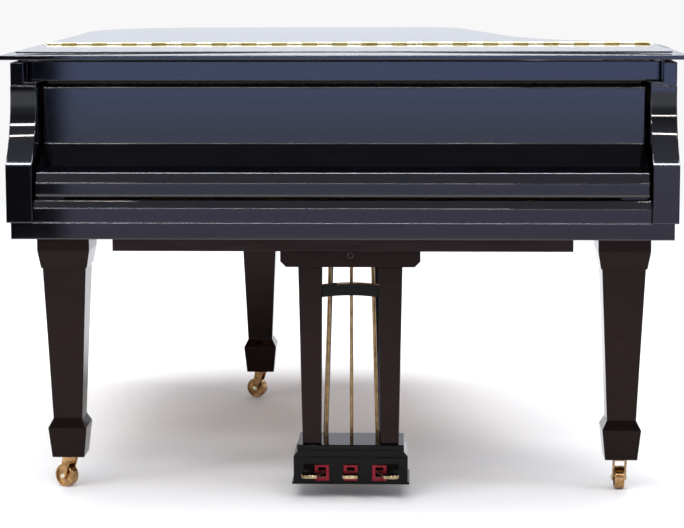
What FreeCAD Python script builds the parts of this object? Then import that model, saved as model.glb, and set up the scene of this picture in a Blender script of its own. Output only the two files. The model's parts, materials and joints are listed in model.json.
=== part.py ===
import FreeCAD, Part
import math
import os
import re
from types import SimpleNamespace

# Grand piano with its lid and key cover closed.
# Millimetres. +X is the treble side, +Y points to the tail, +Z is up.
# The origin is on the floor, under the middle of the outer box.
# A depth in this file is measured back from the front of the arms.

doc = FreeCAD.newDocument("GrandPiano")
sheet = doc.addObject("Spreadsheet::Sheet", "Sizes")
V = FreeCAD.Vector

sizes = {
    # outline of the lid, seen from above
    "overall_length": 1570, "lid_half": 764, "lid_overhang": 23, "lid_front_depth": 72,
    "cheek_gap": 64, "cheek_radius": 190, "cheek_turn": 62, "waist_radius": 440, "waist_turn": 50,
    "tail_radius": 140, "spine_radius": 330,
    # heights of the case
    "case_bottom": 600, "keybed_top": 637, "case_top": 987, "keybed_inset": 9, "keybed_front": 4,
    # rim and arms
    "rim_wall": 40, "inner_rim_wall": 40, "arm_wall": 58, "arm_set_back": 80,
    "arm_bead": 5, "arm_cove_top": 930, "arm_cove_low": 765, "arm_round": 7,
    "notch_width": 28, "notch_height": 44, "notch_back": 166,
    # front boards
    "beam_height": 34, "beam_depth": 150, "beam_front": 60,
    "keyslip_front": 6, "keyslip_wall": 22, "keyslip_height": 50, "keyslip_round": 4,
    "keyslip_bevel": 10, "keyslip_shoulder": 31,
    "stretcher_front": 140, "stretcher_wall": 25,
    "key_block_width": 60, "key_block_top": 722, "key_block_gap": 80, "board_gap": 1.0,
    # fallboard
    "fallboard_gap": 6, "lip_front": 8, "lip_rise": 55, "lip_height": 32, "ridge_rise": 22, "lip_wall": 18,
    "ridge_set_back": 14, "lip_extra": 4, "board_rise": 54,
    "panel_front": 130, "panel_wall": 20, "panel_gap": 10, "board_wall": 15,
    "pivot_depth": 165, "pivot_rise": 108, "pivot_plate": 3.5, "pivot_radius": 4, "pin_reach": 10,
    "pivot_ear": 9, "pivot_seat": 30, "pin_fit": 0.05,
    # sounding parts
    "belly_gap": 76, "belly_wall": 40, "board_low": 872, "board_thick": 8, "rib_height": 22,
    "rib_width": 24, "rib_pitch": 110, "post_width": 70, "post_height": 90, "post_pitch": 238,
    "plate_low": 900, "plate_thick": 11, "plate_band": 48, "plate_skirt": 16,
    "strut_width": 12, "strut_low": 945, "strut_thick": 15, "strut_foot": 22, "strut_inset": 4,
    "pin_block_low": 864, "pin_block_gap": 36, "pin_block_length": 147,
    "tuning_pin_radius": 3.4, "tuning_pin_height": 22, "pin_row_step": 22, "pin_row_inset": 50,
    "hitch_inset": 45, "bridge_gap": 25, "bridge_first": 413, "bridge_middle": 634, "bridge_last": 1034,
    "string_height": 922, "bass_height": 934, "string_radius": 0.6, "bass_radius": 1.5,
    "bass_slant": 0.2, "bridge_width": 30,
    # keyboard and action
    "key_front": 33, "key_tail": 26, "key_head": 50, "key_margin": 12, "key_gap": 1.0,
    "key_low": 690, "key_top": 712, "black_rise": 12, "black_length": 95, "black_slope": 8,
    "balance_depth": 255, "balance_half": 7, "frame_height": 20,
    "hammer_head_depth": 514, "hammer_length": 116, "hammer_pivot_height": 820, "hammer_head_top": 872,
    "hammer_shank": 3, "head_length": 21, "head_round": 14, "butt_reach": 3.2, "rail_gap": 0.5,
    "rail_width": 16, "rail_height": 25, "bracket_gap": 9,
    "damper_gap": 35, "damper_length": 26, "damper_height": 14, "damper_wire": 0.8,
    "tray_low": 745, "tray_thick": 12, "tray_end": 30,
    # lid and hinges
    "lid_gap": 6, "lid_thick": 18, "lip_thick": 7, "bevel_width": 31, "flap_end": 442,
    "hinge_gap": 3.8, "knuckle_radius": 3.5, "hinge_rise": 2, "hinge_pin_radius": 1.4,
    "knuckle_pitch": 36, "leaf_width": 14, "leaf_thick": 1.5,
    "side_hinge_width": 70, "side_knuckle_radius": 3, "side_hinge_out": 7, "side_leaf_drop": 46,
    "bumper_radius": 5, "seat_gap": 0.3,
    "side_axis_drop": 5.2, "side_leaf": 1.8, "side_leaf_out": 14, "side_leaf_in": 3,
    "side_hinge_first": 198, "side_hinge_last": 470,
    "desk_inset": 77, "desk_lap": 64, "desk_low": 965, "desk_thick": 13, "desk_rail_width": 25,
    "prop_width": 14, "prop_low": 935, "prop_height": 15, "prop_inset": 28, "prop_toe": 57,
    "prop_start": 180, "prop_bracket": 14,
    # legs
    "leg_inset": 49, "leg_depth": 159, "rear_leg_side": -262, "rear_leg_inset": 420,
    "leg_plate": 6, "leg_cap": 118, "leg_neck": 104, "leg_top": 98, "leg_waist": 66, "foot_top": 88,
    "foot_low": 73, "cap_low": 520, "cove_top": 560, "shaft_low": 169, "foot_height": 148,
    "leg_low": 78, "plate_size": 150,
    # casters
    "wheel_radius": 26.5, "wheel_width": 22, "caster_trail": 13, "fork_wall": 4, "axle_radius": 4,
    "stem_radius": 6, "stem_length": 45, "socket_wall": 3, "swivel_radius": 20, "swivel_thick": 6,
    "side_clearance": 0.5, "turn_left": 60, "turn_right": 0, "turn_rear": 70,
    "fork_neck": 12, "wheel_recess": 3, "wheel_rim": 5, "hub_radius": 9.5,
    # pedal lyre
    "lyre_side": 18, "lyre_head_half": 157, "lyre_head_low": 530, "lyre_head_front": 64,
    "lyre_head_depth": 112, "lyre_chamfer": 13, "post_spread_top": 90.5, "post_spread_low": 88,
    "post_top_width": 53, "post_low_width": 41, "post_front": 70, "post_depth": 42,
    "guide_low": 455, "guide_height": 26, "guide_sag": 9, "guide_depth": 28,
    "box_low": 34, "box_base_half": 133, "box_base_height": 5, "box_half": 129, "box_shoulder": 98,
    "box_neck": 110, "box_top": 125, "box_top_half": 120, "box_front": 62, "box_depth": 120,
    "slot_width": 32, "slot_low": 42, "slot_high": 78, "felt_side": 7, "felt_top": 5, "felt_length": 12,
    "pedal_pitch": 65, "pedal_width": 15, "pedal_thick": 11, "pedal_low": 58, "pedal_toe": 26,
    "pedal_front": 4, "pedal_neck_gap": 4, "pedal_round": 8,
    "pedal_pivot_depth": 112, "pedal_end": 160, "pedal_swing": 26, "trunnion_radius": 3,
    "trunnion_reach": 5, "slot_back": 10,
    "rod_radius": 4, "rod_depth": 150, "rod_fit": 0.4, "rod_spread_top": 47, "rod_spread_low": 60,
    "rod_top_gap": 8,
    "brace_radius": 6, "brace_spread": 62, "brace_top_spread": 52, "brace_low": 118,
    "brace_end": 420,
}
# sizes that follow from those above; the keyboard has 26 white keys on each side of its middle
ties = {
    "fallboard_half": "lid_half - lid_overhang - arm_wall - fallboard_gap",
    "white_pitch": "(lid_half - lid_overhang - arm_wall - key_block_width - key_margin) / 26",
    "leg_spread": "lid_half - lid_overhang - leg_cap / 2 - leg_inset",
    "beam_half": "leg_spread - leg_cap",
    "desk_half": "fallboard_half - desk_inset",
    "hammer_pivot_depth": "hammer_head_depth - hammer_length",
    "key_end": "hammer_head_depth + key_tail",
    "damper_depth": "hammer_head_depth + damper_gap",
    "belly_depth": "hammer_head_depth + belly_gap",
    "pin_block_end": "hammer_head_depth - pin_block_gap",
    "plate_front": "pin_block_end - pin_block_length",
    "desk_depth": "plate_front - stretcher_front - stretcher_wall + desk_lap",
    "cheek_depth": "hammer_head_depth - cheek_gap",
    "pivot_height": "keybed_top + pivot_rise",
    "lip_low": "keybed_top + lip_rise",
    "lip_shoulder": "lip_low + lip_height",
    "ridge_height": "lip_shoulder + ridge_rise",
    "panel_low": "ridge_height + board_rise",
    "panel_top": "case_top - notch_height - panel_gap",
    "arm_length": "plate_front - board_gap",
    "rear_leg_depth": "overall_length - rear_leg_inset",
}
for row, (word, value) in enumerate([*sizes.items(), *ties.items()], 1):
    sheet.set(f"A{row}", word)
    sheet.set(f"B{row}", f"={value}" if word in ties else str(value))
    sheet.setAlias(f"B{row}", word)
    doc.recompute()
s = SimpleNamespace(**{word: float(sheet.get(word)) for word in [*sizes, *ties]})

word_pattern = re.compile(r"[a-z][a-z_]*")
finished = []


def bind(item, prop, text):
    # ties a property to a sum of words from the sheet
    item.setExpression(prop, word_pattern.sub(r"Sizes.\g<0>", text))


def from_front(text):
    return f"{text} - overall_length / 2"


def back(depth):
    return depth - s.overall_length / 2


def keep(item, label):
    item.Label = label
    finished.append(item)
    return item


def block(name, corner, size):
    # a box by its low corner (x, depth, z) and its size, all as words
    item = doc.addObject("Part::Box", name)
    for prop, text in zip(("Length", "Width", "Height"), size):
        bind(item, prop, text)
    x, depth, z = corner
    bind(item, "Placement.Base.x", x)
    bind(item, "Placement.Base.y", from_front(depth))
    bind(item, "Placement.Base.z", z)
    return item


def solid(name, shape):
    item = doc.addObject("Part::Feature", name)
    item.Shape = shape
    return item


def outline(points):
    # closed list of edges; (u, v, radius) rounds a corner and ("via", u, v) bends the run through it
    corners = [point for point in points if point[0] != "via"]
    bends = {}
    count = 0
    for point in points:
        if point[0] == "via":
            bends[count - 1] = V(point[1], point[2], 0)
        else:
            count += 1
    ends = []
    for i, corner in enumerate(corners):
        here = V(corner[0], corner[1], 0)
        if len(corner) == 2:
            ends.append((here, here, None))
            continue
        to_last = (V(*corners[i - 1][:2], 0) - here).normalize()
        to_next = (V(*corners[(i + 1) % count][:2], 0) - here).normalize()
        half_angle = to_last.getAngle(to_next) / 2
        reach = corner[2] / math.tan(half_angle)
        middle = (to_last + to_next).normalize()
        depth = corner[2] / math.sin(half_angle) - corner[2]
        ends.append((here + to_last * reach, here + to_next * reach, here + middle * depth))
    edges = []
    for i, (first, last, middle) in enumerate(ends):
        if middle is not None:
            edges.append(Part.Arc(first, middle, last))
        start_next = ends[(i + 1) % count][0]
        if i in bends:
            edges.append(Part.Arc(last, bends[i], start_next))
        else:
            edges.append(Part.LineSegment(last, start_next))
    return edges


def padded(name, plane, edges, start, length):
    # a body whose sketch lies on one of its own origin planes and is padded along that plane's normal
    body = doc.addObject("PartDesign::Body", name)
    sketch = body.newObject("Sketcher::SketchObject", name + "Sketch")
    support = [item for item in body.Origin.OriginFeatures if item.Role == plane][0]
    sketch.AttachmentSupport = [(support, "")]
    sketch.MapMode = "FlatFace"
    bind(sketch, "AttachmentOffset.Base.z", start)
    sketch.addGeometry(edges, False)
    pad = body.newObject("PartDesign::Pad", name + "Pad")
    pad.Profile = sketch
    bind(pad, "Length", length)
    body.Tip = pad
    return body


def cut_from(name, base, tools):
    # one boolean per tool, so that the tree shows what each one takes away
    for number, tool in enumerate(tools, 1):
        step = doc.addObject("Part::Cut", f"{name}Cut{number}")
        step.Base = base
        step.Tool = tool
        base = step
    return base


def box_shape(low, high):
    # a plain box between two corners given as (x, depth, z)
    return Part.makeBox(high[0] - low[0], high[1] - low[1], high[2] - low[2],
                        V(low[0], back(low[1]), low[2]))


def rod_shape(start, end, radius):
    # a round bar between two points given as (x, depth, z)
    first = V(start[0], back(start[1]), start[2])
    last = V(end[0], back(end[1]), end[2])
    return Part.makeCylinder(radius, (last - first).Length, first, last - first)


# Outline of the lid and, inset from it, of the rim, the soundboard and the plate.
# It runs up the treble cheek, round it, through the hollow waist to the tail, and back down the spine.
def piano_edges(inset, front):
    turn = math.radians(s.cheek_turn)
    waist = math.radians(s.cheek_turn - s.waist_turn)
    cheek_radius = s.cheek_radius - inset
    waist_radius = s.waist_radius + inset
    tail_radius = s.tail_radius - inset
    spine_radius = s.spine_radius - inset
    right = s.lid_half - inset
    tail = s.overall_length - inset
    here = V(right, s.cheek_depth, 0)
    edges = [Part.LineSegment(V(right, front, 0), here)]

    def arc(start, radius, heading, last_heading):
        side = 1 if last_heading > heading else -1
        centre = start - V(math.cos(heading), math.sin(heading), 0) * radius * side
        points = [centre + V(math.cos(a), math.sin(a), 0) * radius * side
                  for a in (heading, (heading + last_heading) / 2, last_heading)]
        edges.append(Part.Arc(*points))
        return points[2]

    here = arc(here, cheek_radius, 0, turn)
    here = arc(here, waist_radius, turn, waist)
    straight = (tail - here.y - tail_radius * (1 - math.sin(waist))) / math.cos(waist)
    after = here + V(-math.sin(waist), math.cos(waist), 0) * straight
    edges.append(Part.LineSegment(here, after))
    here = arc(after, tail_radius, waist, math.pi / 2)
    after = V(-right + spine_radius, tail, 0)
    edges.append(Part.LineSegment(here, after))
    here = arc(after, spine_radius, math.pi / 2, math.pi)
    edges.append(Part.LineSegment(here, V(-right, front, 0)))
    edges.append(Part.LineSegment(V(-right, front, 0), V(right, front, 0)))
    return edges


def piano_wire(inset, front, height):
    wire = Part.Wire([edge.toShape() for edge in piano_edges(inset, front)])
    wire.translate(V(0, back(0), height))
    return wire


def piano_slab(inset, front, low, high):
    # the inset outline as a slab, cut off square at a front depth
    slab = Part.Face(piano_wire(inset, 0, low)).extrude(V(0, 0, high - low))
    if front > 0:
        slab = slab.cut(box_shape((-s.lid_half, 0, low), (s.lid_half, front, high)))
    return slab


rim_in = s.lid_overhang + s.rim_wall
inner_in = rim_in + s.inner_rim_wall
case_half = s.lid_half - s.lid_overhang
arm_inner = case_half - s.arm_wall
plate_in = rim_in + s.seat_gap
board_top = s.board_low + s.board_thick
plate_top = s.plate_low + s.plate_thick


# Case
rim = solid("Rim", piano_slab(s.lid_overhang, s.arm_length, s.case_bottom, s.case_top).cut(
    piano_slab(rim_in, 0, s.case_bottom, s.case_top)))
keep(rim, "rim")

inner_rim = solid("InnerRim", piano_slab(
    rim_in, s.belly_depth + s.belly_wall, s.case_bottom, s.board_low).cut(
        piano_slab(inner_in, 0, s.case_bottom, s.board_low)))
keep(inner_rim, "inner_rim")

# side view of an arm: low front block, hollow cove, bead and set-back upper block
cove_step = s.arm_set_back - s.arm_bead
cove_drop = s.arm_cove_top - s.arm_cove_low
cove_radius = (cove_step ** 2 + cove_drop ** 2) / (2 * cove_step)
cove_angle = math.asin(cove_drop / cove_radius) / 2
arm_side = outline([
    (back(0), s.keybed_top),
    (back(0), s.arm_cove_low, s.arm_round),
    ("via", back(cove_step - cove_radius * (1 - math.cos(cove_angle))),
     s.arm_cove_top - cove_radius * math.sin(cove_angle)),
    (back(cove_step), s.arm_cove_top),
    (back(cove_step), s.arm_cove_top + s.arm_bead),
    (back(s.arm_set_back), s.arm_cove_top + s.arm_bead),
    (back(s.arm_set_back), s.case_top),
    (back(s.arm_length), s.case_top),
    (back(s.arm_length), s.keybed_top),
])
for side, start, notch, hole in (
        ("left", "lid_overhang - lid_half", "lid_overhang - lid_half + arm_wall - notch_width",
         "lid_overhang - lid_half + arm_wall - pin_reach - board_gap"),
        ("right", "lid_half - lid_overhang - arm_wall", "lid_half - lid_overhang - arm_wall",
         "lid_half - lid_overhang - arm_wall")):
    body = padded("Arm" + side.title(), "YZ_Plane", arm_side, start, "arm_wall")
    rabbet = block("ArmNotch" + side.title(), (notch, "arm_set_back", "case_top - notch_height"),
                   ("notch_width", "notch_back - arm_set_back", "notch_height"))
    bore = doc.addObject("Part::Cylinder", "ArmBore" + side.title())
    bind(bore, "Radius", "pivot_radius + pin_fit")
    bind(bore, "Height", "pin_reach + board_gap")
    bore.Placement.Rotation = FreeCAD.Rotation(V(0, 1, 0), 90)
    bind(bore, "Placement.Base.x", hole)
    bind(bore, "Placement.Base.y", from_front("pivot_depth"))
    bind(bore, "Placement.Base.z", "pivot_height")
    keep(cut_from("Arm" + side.title(), body, [rabbet, bore]), "arm_" + side)

keybed_front_part = box_shape((s.keybed_inset - case_half, s.keybed_front, s.case_bottom),
                              (case_half - s.keybed_inset, s.arm_length, s.keybed_top))
keybed_back_part = piano_slab(rim_in, s.arm_length, s.case_bottom, s.keybed_top).common(
    box_shape((-s.lid_half, s.arm_length, s.case_bottom), (s.lid_half, s.belly_depth, s.keybed_top)))
keep(solid("Keybed", keybed_front_part.fuse(keybed_back_part).removeSplitter()), "keybed")

# the three pedal rods lean outwards a little towards the floor
rod_sides = (("left", -1), ("middle", 0), ("right", 1))
rod_low = s.pedal_low + s.pedal_thick + s.seat_gap
rod_high = s.case_bottom - s.rod_top_gap


def rod_axis(side, height):
    share = (height - rod_low) / (rod_high - rod_low)
    spread = s.rod_spread_low + (s.rod_spread_top - s.rod_spread_low) * share
    return (s.lyre_side + side * spread, s.rod_depth, height)


rod_bores = Part.makeCompound([
    rod_shape(rod_axis(side, s.box_low), rod_axis(side, s.case_bottom), s.rod_radius + s.rod_fit)
    for name, side in rod_sides])

beam = block("Beam", ("-beam_half", "beam_front", "case_bottom - beam_height"),
             ("2 * beam_half", "beam_depth", "beam_height"))
beam_holes = solid("BeamHoles", rod_bores)
keep(cut_from("Beam", beam, [beam_holes]), "keybed_beam")

keyslip_top = s.keybed_top + s.keyslip_height
keyslip_back = s.keyslip_front + s.keyslip_wall
keyslip_side = outline([
    (back(s.keyslip_front), s.keybed_top),
    (back(s.keyslip_front), s.keybed_top + s.keyslip_shoulder, s.keyslip_round),
    (back(s.keyslip_front + s.keyslip_bevel), keyslip_top, s.keyslip_round),
    (back(keyslip_back), keyslip_top, s.keyslip_round),
    (back(keyslip_back), s.keybed_top),
])
keep(padded("Keyslip", "YZ_Plane", keyslip_side, "lid_overhang + arm_wall + board_gap - lid_half",
            "2 * (lid_half - lid_overhang - arm_wall - board_gap)"), "keyslip")

keep(block("Stretcher", ("lid_overhang - lid_half + arm_wall - notch_width + board_gap",
                         "stretcher_front", "case_top - notch_height"),
           ("2 * (lid_half - lid_overhang - arm_wall + notch_width - board_gap)", "stretcher_wall",
            "notch_height")), "stretcher")

key_block_inner = s.fallboard_half - s.board_gap - s.key_block_width
key_blocks = [box_shape((x, keyslip_back + s.board_gap, s.keybed_top),
                        (x + s.key_block_width, s.hammer_pivot_depth - s.key_block_gap, s.key_block_top))
              for x in (-key_block_inner - s.key_block_width, key_block_inner)]
keep(solid("KeyBlocks", Part.makeCompound(key_blocks)), "key_blocks")

belly_end = s.belly_depth + s.belly_wall
belly = piano_slab(rim_in, s.belly_depth, s.case_bottom, s.board_low).common(
    box_shape((-s.lid_half, s.belly_depth, s.case_bottom), (s.lid_half, belly_end, s.board_low)))
keep(solid("BellyRail", belly), "belly_rail")

inner_space = piano_slab(inner_in, belly_end, s.case_bottom, s.board_low)
post_sides = [s.rear_leg_side + step * s.post_pitch for step in (-1, 0, 1)]
posts = [inner_space.common(box_shape(
    (x - s.post_width / 2, belly_end, s.case_bottom),
    (x + s.post_width / 2, s.overall_length, s.case_bottom + s.post_height))) for x in post_sides]
keep(solid("BackPosts", Part.makeCompound(posts)), "back_posts")


# Sounding parts
keep(solid("Soundboard", piano_slab(rim_in, s.belly_depth, s.board_low, board_top)), "soundboard")

rib_count = int((s.overall_length - inner_in - belly_end) // s.rib_pitch)
ribs = []
for number in range(rib_count):
    depth = belly_end + s.rib_pitch * (number + 0.5)
    bar = box_shape((-s.lid_half, depth, s.board_low - s.rib_height),
                    (s.lid_half, depth + s.rib_width, s.board_low))
    ribs.append(bar.common(inner_space))
keep(solid("Ribs", Part.makeCompound(ribs)), "ribs")


def reach(x, depth, slant, inset):
    # the point where a string line that starts at (x, depth) meets an inset outline
    face = Part.Face(Part.Wire([edge.toShape() for edge in piano_edges(inset, 0)]))
    far = V(x + slant * s.overall_length, depth + s.overall_length, 0)
    inside = Part.LineSegment(V(x, depth, 0), far).toShape().common(face)
    return max((vertex.Point for vertex in inside.Vertexes), key=lambda point: point.y)


note_count = 88
bass_notes = 26
octave = 7 * s.white_pitch
keyboard_half = 26 * s.white_pitch


def note_side(note):
    # left edge of a note's key where it passes between the black keys
    octave_start = (7 * ((note + 9) // 12) - 5) * s.white_pitch - keyboard_half
    return octave_start + ((note + 9) % 12) * octave / 12


def is_black(note):
    return (note + 9) % 12 in (1, 3, 6, 8, 10)


note_width = octave / 12
note_middle = [note_side(note) + note_width / 2 for note in range(note_count)]
strike_depth = s.hammer_head_depth
pin_rows = 4
first_pin_row = s.plate_front + s.pin_row_inset
hitch_in = rim_in + s.hitch_inset

# places of the bridges: in from the treble edge, and as shares of the length behind the belly rail
treble_bridge_places = ((s.bridge_first, 0.075), (s.bridge_middle, 0.405), (s.bridge_last, 0.702))
bass_bridge_share = 0.793
sounding_length = s.overall_length - belly_end
bass_bridge_depth = belly_end + bass_bridge_share * sounding_length
tenor_end = bass_bridge_depth - s.bridge_gap

tuning_pins = []
strings = []
string_line = []
for note, x in enumerate(note_middle):
    low = note < bass_notes
    slant = s.bass_slant if low else 0
    height = s.bass_height if low else s.string_height
    radius = s.bass_radius if low else s.string_radius
    depth = first_pin_row + s.pin_row_step * (note % pin_rows)
    start = x + slant * (depth - strike_depth)
    pin_base = V(start, back(depth), plate_top)
    pin_height = height + s.tuning_pin_height / 2 - plate_top
    tuning_pins.append(Part.makeCylinder(s.tuning_pin_radius, pin_height, pin_base))
    first = depth + s.tuning_pin_radius + s.seat_gap
    first_x = x + slant * (first - strike_depth)
    last = reach(first_x, first, slant, hitch_in)
    if not low:
        last.y = min(last.y, tenor_end)
    strings.append(rod_shape((first_x, first, height), (last.x, last.y, height), radius))
    string_line.append((x, slant, height, radius))
keep(solid("TuningPins", Part.makeCompound(tuning_pins)), "tuning_pins")
keep(solid("Strings", Part.makeCompound(strings)), "strings")

# treble bridge: a bent bar under the plain strings; bass bridge: a straight one under the wound strings
bridge_line = [V(s.lid_half - across, back(belly_end + share * sounding_length), 0)
               for across, share in treble_bridge_places]
bridge_centre = Part.Arc(*bridge_line).toShape().Curve.Center


def bridge_side(shift):
    points = []
    for point in bridge_line:
        out = (point - bridge_centre).normalize()
        points.append(point + out * shift)
    return points


outer_side = bridge_side(s.bridge_width / 2)
inner_side = bridge_side(-s.bridge_width / 2)
bridge_wire = Part.Wire([
    Part.Arc(*outer_side).toShape(), Part.LineSegment(outer_side[2], inner_side[2]).toShape(),
    Part.Arc(*reversed(inner_side)).toShape(), Part.LineSegment(inner_side[0], outer_side[0]).toShape()])
treble_bridge = Part.Face(bridge_wire).extrude(
    V(0, 0, s.string_height - s.string_radius - s.seat_gap - board_top))
treble_bridge.translate(V(0, 0, board_top))
bass_bridge = box_shape(
    (note_middle[0] + s.bass_slant * (bass_bridge_depth - strike_depth) - s.bridge_width,
     bass_bridge_depth, board_top),
    (note_middle[bass_notes] + s.bass_slant * (bass_bridge_depth - strike_depth),
     bass_bridge_depth + s.bridge_width, s.bass_height - s.bass_radius - s.seat_gap))
keep(solid("Bridges", Part.makeCompound([treble_bridge, bass_bridge])), "bridges")

pin_panel = box_shape((-s.lid_half, s.plate_front, s.plate_low),
                      (s.lid_half, s.pin_block_end, plate_top))
plate = piano_slab(plate_in, s.plate_front, s.plate_low, plate_top)
plate_hole = piano_slab(plate_in + s.plate_band, 0, s.plate_low, plate_top).cut(pin_panel)
plate = plate.cut(plate_hole)
skirt = piano_slab(plate_in, s.belly_depth, board_top, s.plate_low).cut(
    piano_slab(plate_in + s.plate_skirt, 0, board_top, s.plate_low))
plate = plate.fuse(skirt)
strut_top = s.strut_low + s.strut_thick
strut_notes = (36, 50, 63, 75)
strut_start = s.plate_front + s.strut_inset
for note in strut_notes:
    x = note_side(note) - s.strut_width / 2
    end = reach(note_side(note) + s.strut_width, s.plate_front, 0, plate_in + s.strut_foot).y
    first_foot = box_shape((x, strut_start, plate_top),
                           (x + s.strut_width, strut_start + s.strut_foot, strut_top))
    bar = box_shape((x, strut_start, s.strut_low), (x + s.strut_width, end, strut_top))
    last_foot = box_shape((x, end - s.strut_foot, plate_top), (x + s.strut_width, end, strut_top))
    plate = plate.fuse([first_foot, bar, last_foot])
keep(solid("Plate", plate.removeSplitter()), "plate")

pin_block = piano_slab(rim_in, s.plate_front, s.pin_block_low, s.plate_low).common(
    box_shape((-s.lid_half, s.plate_front, s.pin_block_low),
              (s.lid_half, s.pin_block_end, s.plate_low)))
keep(solid("PinBlock", pin_block), "pin_block")


# Keyboard and action
def side_solid(points, x, width):
    # a side view, given as (depth, z) corners, made as wide as asked from x on
    corners = [V(x, back(depth), z) for depth, z in points]
    return Part.Face(Part.makePolygon(corners + corners[:1])).extrude(V(width, 0, 0))


head_end = s.key_front + s.key_head
black_inset = 1.5 * s.key_gap
black_front = head_end + 2 * black_inset
black_back = black_front + s.black_length
black_top = s.key_top + s.black_rise
white_keys = []
black_keys = []
white_index = 0
for note in range(note_count):
    tail_x = note_side(note)
    if is_black(note):
        black_keys.append(side_solid(
            [(black_front, s.key_low), (black_front, s.key_top), (black_front + s.black_slope, black_top),
             (black_back, black_top), (black_back, s.key_top), (s.key_end, s.key_top),
             (s.key_end, s.key_low)], tail_x + black_inset, note_width - 2 * black_inset))
        continue
    head_x = white_index * s.white_pitch - keyboard_half
    white_index += 1
    head = box_shape((head_x + s.key_gap / 2, s.key_front, s.key_low),
                     (head_x + s.white_pitch - s.key_gap / 2, head_end, s.key_top))
    tail = box_shape((tail_x + s.key_gap / 2, head_end, s.key_low),
                     (tail_x + note_width - s.key_gap / 2, s.key_end, s.key_top))
    white_keys.append(head.fuse(tail))
keep(solid("WhiteKeys", Part.makeCompound(white_keys)), "white_keys")
keep(solid("BlackKeys", Part.makeCompound(black_keys)), "black_keys")

frame_top = s.keybed_top + s.frame_height
wing_front = s.hammer_pivot_depth - 2 * s.rail_width
bracket_inner = keyboard_half + s.bracket_gap
bracket_outer = bracket_inner + s.rail_width
key_frame = box_shape((-keyboard_half, s.key_front, s.keybed_top), (keyboard_half, s.key_end, frame_top))
key_frame = key_frame.fuse([
    box_shape((-bracket_outer, wing_front, s.keybed_top), (bracket_outer, s.key_end, frame_top)),
    box_shape((-keyboard_half, s.balance_depth - s.balance_half, frame_top),
              (keyboard_half, s.balance_depth + s.balance_half, s.key_low - s.rail_gap))])
keep(solid("KeyFrame", key_frame.removeSplitter()), "key_frame")

rail_back = s.hammer_pivot_depth - s.butt_reach - s.rail_gap
rail_top = s.hammer_pivot_height + s.rail_height / 2
action_rails = [
    box_shape((-bracket_inner, rail_back - s.rail_width, rail_top - s.rail_height),
              (bracket_inner, rail_back, rail_top)),
    box_shape((-bracket_inner, rail_back - s.rail_width, s.key_top + s.rail_height),
              (bracket_inner, rail_back, s.key_top + 2 * s.rail_height))]
for x in (-bracket_outer, bracket_inner):
    action_rails.append(side_solid(
        [(wing_front, frame_top), (wing_front, rail_top), (rail_back, rail_top),
         (s.key_end, frame_top + s.rail_height), (s.key_end, frame_top)], x, s.rail_width))
keep(solid("ActionRails", Part.makeCompound(action_rails)), "action_rails")

hammer_width = 0.58 * note_width
butt = s.hammer_pivot_depth - s.butt_reach
head_back = s.hammer_head_depth + s.head_length
head_shoulder = s.hammer_head_top - s.head_round
shank_low = s.hammer_pivot_height - s.hammer_shank
shank_top = s.hammer_pivot_height + s.hammer_shank
hammer_side = [
    (butt, s.hammer_pivot_height - s.hammer_shank / 2),
    (s.hammer_pivot_depth, shank_low),
    (s.hammer_head_depth, shank_low),
    (s.hammer_head_depth, shank_low - 2 * s.hammer_shank),
    (head_back, shank_low - 2 * s.hammer_shank),
    (head_back, head_shoulder),
    (s.hammer_head_depth + 0.65 * s.head_length, s.hammer_head_top),
    (s.hammer_head_depth + 0.35 * s.head_length, s.hammer_head_top),
    (s.hammer_head_depth, head_shoulder),
    (s.hammer_head_depth, shank_top),
    (s.hammer_pivot_depth, shank_top),
    (butt, s.hammer_pivot_height + s.hammer_shank / 2)]
for label, black in (("hammers_white", False), ("hammers_black", True)):
    group = [side_solid(hammer_side, note_middle[note] - hammer_width / 2, hammer_width)
             for note in range(note_count) if is_black(note) == black]
    keep(solid(label.title().replace("_", ""), Part.makeCompound(group)), label)

# damper heads on the strings, with wires down to a lifting tray that stands on dowels
damper_end = s.damper_depth + s.damper_length
damper_middle = s.damper_depth + s.damper_length / 2
damper_count = 66
damper_half = hammer_width / 2
wire_in = 1
tray_top = s.tray_low + s.tray_thick
dampers = []
for note, (x, slant, height, radius) in enumerate(string_line[:damper_count]):
    if note == bass_notes:
        continue
    middle = x + slant * (damper_middle - strike_depth)
    low = height + radius + s.seat_gap
    head = box_shape((middle - damper_half - 2 * s.damper_wire, s.damper_depth, low),
                     (middle + damper_half, damper_end, low + s.damper_height))
    wire_x = middle - damper_half - s.damper_wire
    wire = rod_shape((wire_x, damper_middle, tray_top - wire_in), (wire_x, damper_middle, low + wire_in),
                     s.damper_wire)
    dampers.append(head.fuse(wire))
tray_half = s.rail_width / 2
dowel_notes = [int(share * damper_count) for share in (0.04, 0.5, 0.98)]
tray = box_shape((note_middle[0] - s.tray_end, damper_middle - tray_half, s.tray_low),
                 (note_middle[damper_count] + s.tray_thick, damper_middle + tray_half, tray_top))
for note in dowel_notes:
    dowel = rod_shape((note_middle[note], damper_middle, s.keybed_top + s.seat_gap),
                      (note_middle[note], damper_middle, s.tray_low + wire_in), s.tray_thick / 2)
    tray = tray.fuse(dowel)
keep(solid("Dampers", tray.fuse(dampers)), "dampers")


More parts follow.
